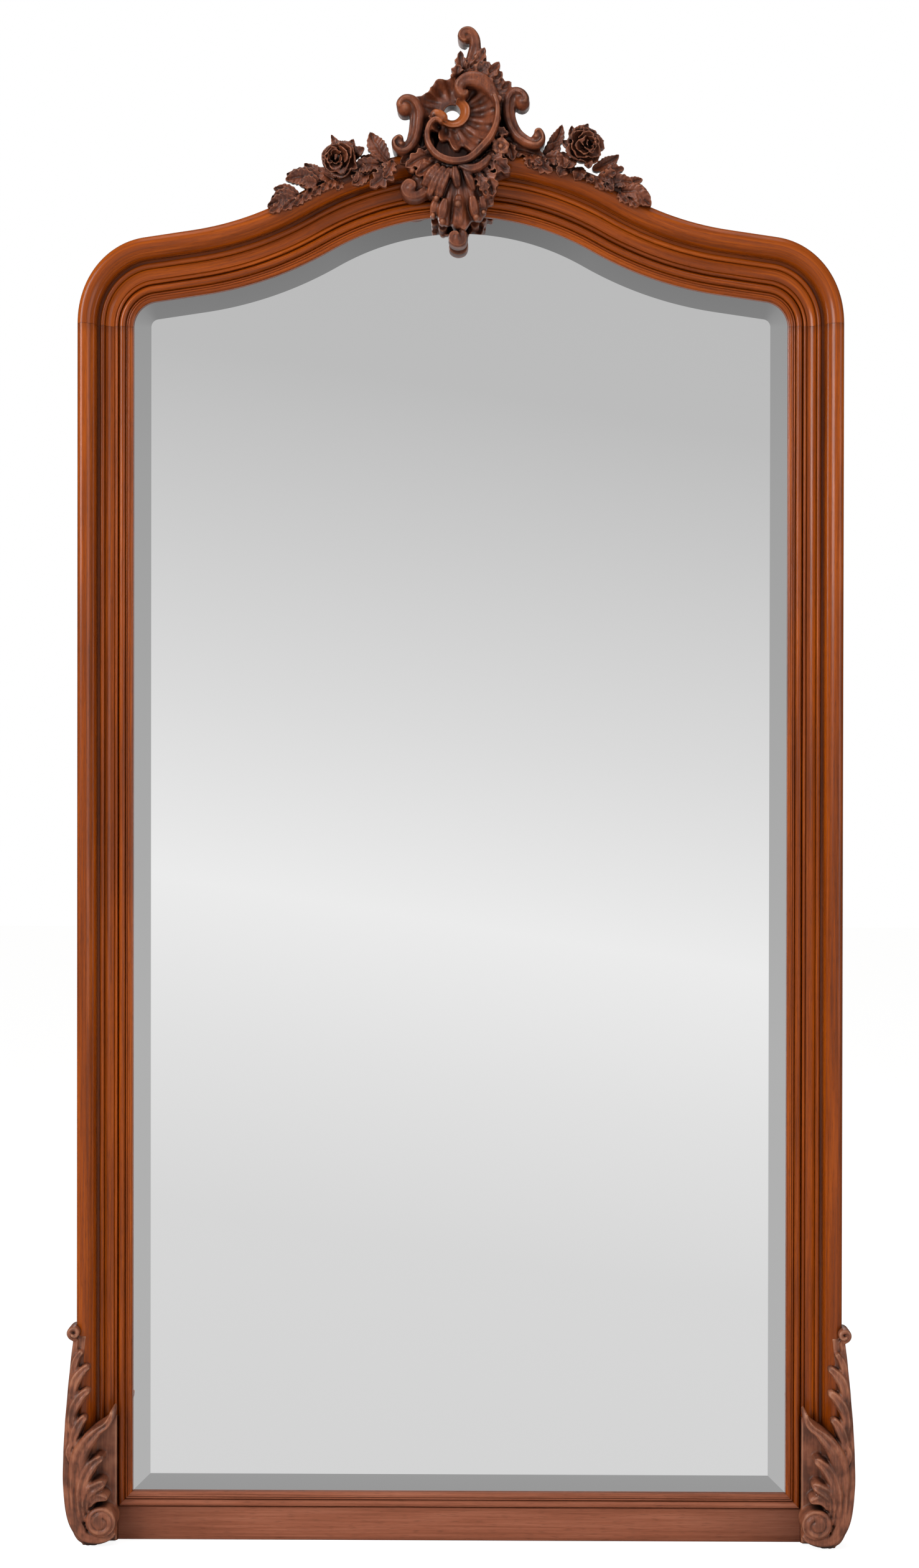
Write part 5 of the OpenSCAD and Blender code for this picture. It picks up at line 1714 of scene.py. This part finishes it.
@dataclass
class Studio:
    """Pale floor, soft lamps, the room that the plate reflects, and the camera."""

    eye: tuple[float, float, float] = (0.0333, -3.579, 1.0805)
    yaw: float = -0.536
    pitch: float = 0.352
    roll: float = 0.091
    lens: float = 59.22
    floor_glow: float = 1.16
    floor_share: float = 0.78
    wall_glow: float = 1.08
    lamps: Sequence[Lamp] = (
        Lamp("key_lamp", (-3.2, -3.0, 2.6), 2.2, 140.0), Lamp("fill_lamp", (3.4, -2.8, 1.6), 2.6, 42.0),
        Lamp("top_lamp", (0.0, -1.2, 4.2), 2.4, 40.0), Lamp("back_lamp", (0.0, 3.2, 2.6), 2.6, 45.0))

    @staticmethod
    def sheet(name: str, cells: int, size: float, place: Matrix,
              paint: bpy.types.Material) -> bpy.types.Object:
        """Makes a flat square for the stage.

        Args:
            name: its name.
            cells: its cells along a side.
            size: half its side in metres.
            place: where it lies.
            paint: its material.

        Returns:
            The new object.
        """
        bm = bmesh.new()
        bmesh.ops.create_grid(bm, x_segments=cells, y_segments=cells, size=size, matrix=place)
        mesh = baked(name, bm)
        mesh.materials.append(paint)
        return linked(name, mesh)

    def floor(self) -> None:
        """Lays a white floor that keeps the mirror's shadow and is not seen in the plate."""
        material, tree, out = blank("white_studio_floor")
        rays = add(tree, "ShaderNodeLightPath")
        paper = add(tree, "ShaderNodeBsdfDiffuse", {"Color": colour("#ffffff")})
        glow = add(tree, "ShaderNodeEmission", {"Color": colour("#ffffff"), "Strength": self.floor_glow})
        seen = calc(tree, "MULTIPLY", rays.outputs["Is Camera Ray"], self.floor_share)
        lit = add(tree, "ShaderNodeMixShader", {0: seen, 1: paper.outputs[0], 2: glow.outputs[0]})
        clear = add(tree, "ShaderNodeBsdfTransparent")
        mirrored = calc(tree, "MAXIMUM", rays.outputs["Is Glossy Ray"], rays.outputs["Is Transmission Ray"])
        both = add(tree, "ShaderNodeMixShader", {0: mirrored, 1: lit.outputs[0], 2: clear.outputs[0]})
        tree.links.new(both.outputs[0], out.inputs[0])
        floor = self.sheet("studio_floor", 8, 14.0, Matrix.Identity(4), material)

    def world(self) -> None:
        """Lights the room evenly and shows it white to the camera."""
        world = bpy.data.worlds.new("studio")
        bpy.context.scene.world = world
        world.use_nodes = True
        tree = world.node_tree
        tree.nodes.clear()
        out = tree.nodes.new("ShaderNodeOutputWorld")
        rays = add(tree, "ShaderNodeLightPath")
        glare = stretch(tree, rays.outputs["Is Glossy Ray"], 0.0, 1.0, 0.42, 0.14)
        light = add(tree, "ShaderNodeBackground", {"Color": colour("#f4f2ee"), "Strength": glare})
        white = add(tree, "ShaderNodeBackground", {"Color": colour("#ffffff"), "Strength": 1.0})
        both = add(tree, "ShaderNodeMixShader",
                   {0: rays.outputs["Is Camera Ray"], 1: light.outputs[0], 2: white.outputs[0]})
        tree.links.new(both.outputs[0], out.inputs[0])

    def room(self) -> None:
        """Hangs the bright wall that the plate reflects behind the camera, seen by nothing else.

        The flat of the plate meets its middle, which has the photo's change of tone. The bevels meet its
        dimmer parts further out.
        """
        material, tree, out = blank("reflected_wall_paint")
        spot = add(tree, "ShaderNodeSeparateXYZ", {0: add(tree, "ShaderNodeTexCoord").outputs["Object"]})
        across, up = spot.outputs["X"], spot.outputs["Z"]
        level = stretch(tree, calc(tree, "MULTIPLY_ADD", across, 0.16, up), -1.4, 3.2, 0.0, 1.0)
        flat = ramp(tree, level, (0.0, "#d6d6d6"), (0.2, "#dadada"), (0.32, "#e4e4e4"), (0.43, "#efefef"),
                    (0.56, "#dedede"), (0.8, "#bfbfbf"), (1.0, "#bcbcbc"))
        edges = ramp(tree, stretch(tree, up, -2.3, 3.9, 0.0, 1.0), (0.0, "#9a9a9a"), (0.12, "#b4b4b4"),
                     (0.4, "#b2b2b2"), (0.7, "#a2a2a2"), (0.9, "#8e8e8e"), (1.0, "#6c6c6c"))
        aside = stretch(tree, calc(tree, "ABSOLUTE", across), 1.25, 1.6, 0.0, 1.0)
        above = stretch(tree, up, 3.0, 3.3, 0.0, 1.0)
        below = stretch(tree, up, -1.3, -1.6, 0.0, 1.0)
        outside = calc(tree, "MAXIMUM", aside, calc(tree, "MAXIMUM", below, above))
        tone = mixed(tree, outside, flat, edges)
        glow = add(tree, "ShaderNodeEmission", {"Color": tone, "Strength": self.wall_glow})
        tree.links.new(glow.outputs[0], out.inputs[0])
        place = Matrix.Translation((0.0, -4.6, 0.9)) @ Matrix.Rotation(radians(90), 4, "X")
        wall = self.sheet("reflected_wall", 4, 30.0, place, material)
        wall.visible_camera = False
        wall.visible_diffuse = False
        wall.visible_shadow = False
        wall.visible_transmission = False

    def camera(self) -> None:
        """Stands the camera where the photograph was taken from."""
        data = bpy.data.cameras.new("photo_camera")
        data.sensor_fit = "VERTICAL"
        data.sensor_height = 36.0
        data.lens = self.lens
        camera = linked("photo_camera", data)
        camera.location = self.eye
        turn = (Matrix.Rotation(radians(-self.yaw), 3, "Z")
                @ Matrix.Rotation(radians(90 - self.pitch), 3, "X")
                @ Matrix.Rotation(radians(self.roll), 3, "Z"))
        camera.rotation_euler = turn.to_euler()
        bpy.context.scene.camera = camera

    def build(self) -> None:
        """Sets the whole stage."""
        bpy.context.scene.view_settings.view_transform = "Standard"
        self.camera()
        self.floor()
        self.world()
        self.room()
        for lamp in self.lamps:
            lamp.hang()


LEFT_STEM = ((-92, -18), (-125, -28), (-160, -42), (-200, -56), (-236, -74), (-258, -84))
RIGHT_STEM = ((96, -10), (125, -20), (155, -30), (190, -44), (220, -58), (248, -74))
LEFT_LEAVES = (
    ((-100, -18), (-125, 23), 25, 3, 7, 0), ((-93, -17), (-125, -56), 28, 5, 4, 4),
    ((-94, -18), (-106, -44), 18, 3, 4, 8), ((-185, -42), (-216, -20), 18, 2, 7, 0),
    ((-186, -43), (-241, -36), 19, -3, 7, 2), ((-196, -48), (-242, -44), 22, -5, 7, 6),
    ((-198, -43), (-232, -28), 15, 2, 7, -2), ((-222, -67), (-259, -55), 15, -3, 6, 2),
    ((-226, -72), (-267, -81), 18, -3, 6, 4), ((-166, -45), (-171, -60), 13, 2, 3, 4),
    ((-176, -43), (-181, -58), 13, 2, 3, 4), ((-185, -47), (-192, -62), 13, 2, 3, 4),
    ((-193, -52), (-204, -67), 14, 2, 3, 4), ((-206, -57), (-217, -75), 14, 2, 3, 4),
    ((-216, -63), (-229, -81), 14, 2, 3, 4), ((-228, -70), (-246, -87), 14, 2, 3, 4),
    ((-240, -73), (-264, -90), 14, 2, 3, 3), ((-106, -22), (-138, -10), 20, 3, 6, 0),
    ((-112, -24), (-150, -34), 20, -3, 6, 4), ((-128, -32), (-150, -52), 18, 3, 6, 4),
    ((-198, -52), (-222, -52), 18, -3, 6, 6), ((-226, -68), (-262, -70), 18, -3, 6, 3),
    ((-176, -44), (-204, -34), 18, -3, 6, 0))
RIGHT_LEAVES = (
    ((116, -4), (140, 33), 18, -5, 7, 0), ((100, -6), (127, -36), 22, -4, 4, 4),
    ((98, -8), (113, -26), 14, -3, 4, 8), ((98, -6), (96, -30), 16, -2, 4, 4),
    ((145, -4), (145, -31), 19, -3, 6, 6), ((164, -24), (157, -47), 18, 3, 6, 6),
    ((182, -27), (219, -9), 17, -3, 7, 2), ((196, -42), (226, -29), 18, 4, 4, 6),
    ((200, -44), (214, -36), 16, 3, 4, 10), ((226, -56), (252, -43), 14, 3, 7, 2),
    ((228, -60), (256, -58), 14, 3, 6, 4), ((229, -62), (263, -80), 22, 4, 6, 3),
    ((175, -34), (184, -49), 13, -2, 3, 4), ((188, -40), (197, -60), 14, -2, 3, 4),
    ((202, -45), (211, -61), 14, -2, 3, 4), ((219, -60), (231, -78), 14, -2, 3, 4),
    ((233, -66), (245, -83), 14, -2, 3, 3), ((112, -10), (136, 10), 20, -4, 6, 0),
    ((116, -14), (144, -22), 20, 3, 6, 4), ((150, -26), (136, -42), 18, -3, 6, 4),
    ((190, -40), (222, -46), 20, 3, 6, 6), ((206, -50), (238, -48), 18, 3, 6, 4),
    ((222, -60), (262, -68), 20, 3, 6, 4))
LEFT_SEPALS = (
    ((-156, -14), (-178, 16), 13), ((-152, -15), (-147, 10), 15), ((-150, -17), (-132, -2), 15),
    ((-146, -24), (-129, -38), 13), ((-150, -30), (-144, -50), 13))
RIGHT_SEPALS = (
    ((160, 4), (153, 28), 13), ((168, 10), (176, 31), 12), ((158, 0), (140, 8), 13),
    ((156, -12), (146, -30), 15), ((172, -18), (176, -30), 13))


def main() -> None:
    """Builds the dressed mirror and its studio in order."""
    logging.basicConfig(level=logging.INFO, format="%(name)s %(message)s")
    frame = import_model()
    Studio().build()
    arch = Arch()
    MouldedFrame(arch, Moulding()).build()
    BevelledPlate(arch).build()
    Crest(arch).build()
    Apron(arch).build()
    Garland(arch, "left_garland", LEFT_LEAVES, LEFT_STEM).build()
    Garland(arch, "right_garland", RIGHT_LEAVES, RIGHT_STEM).build()
    Rose(arch, "left_rose", (-167.0, -18.0), -1, LEFT_SEPALS).build()
    Rose(arch, "right_rose", (170.0, 1.0), 1, RIGHT_SEPALS).build()
    FootCarving(arch, -1).build()
    FootCarving(arch, 1).build()
    BackFrame(frame).build()


if __name__ == "__main__":
    main()
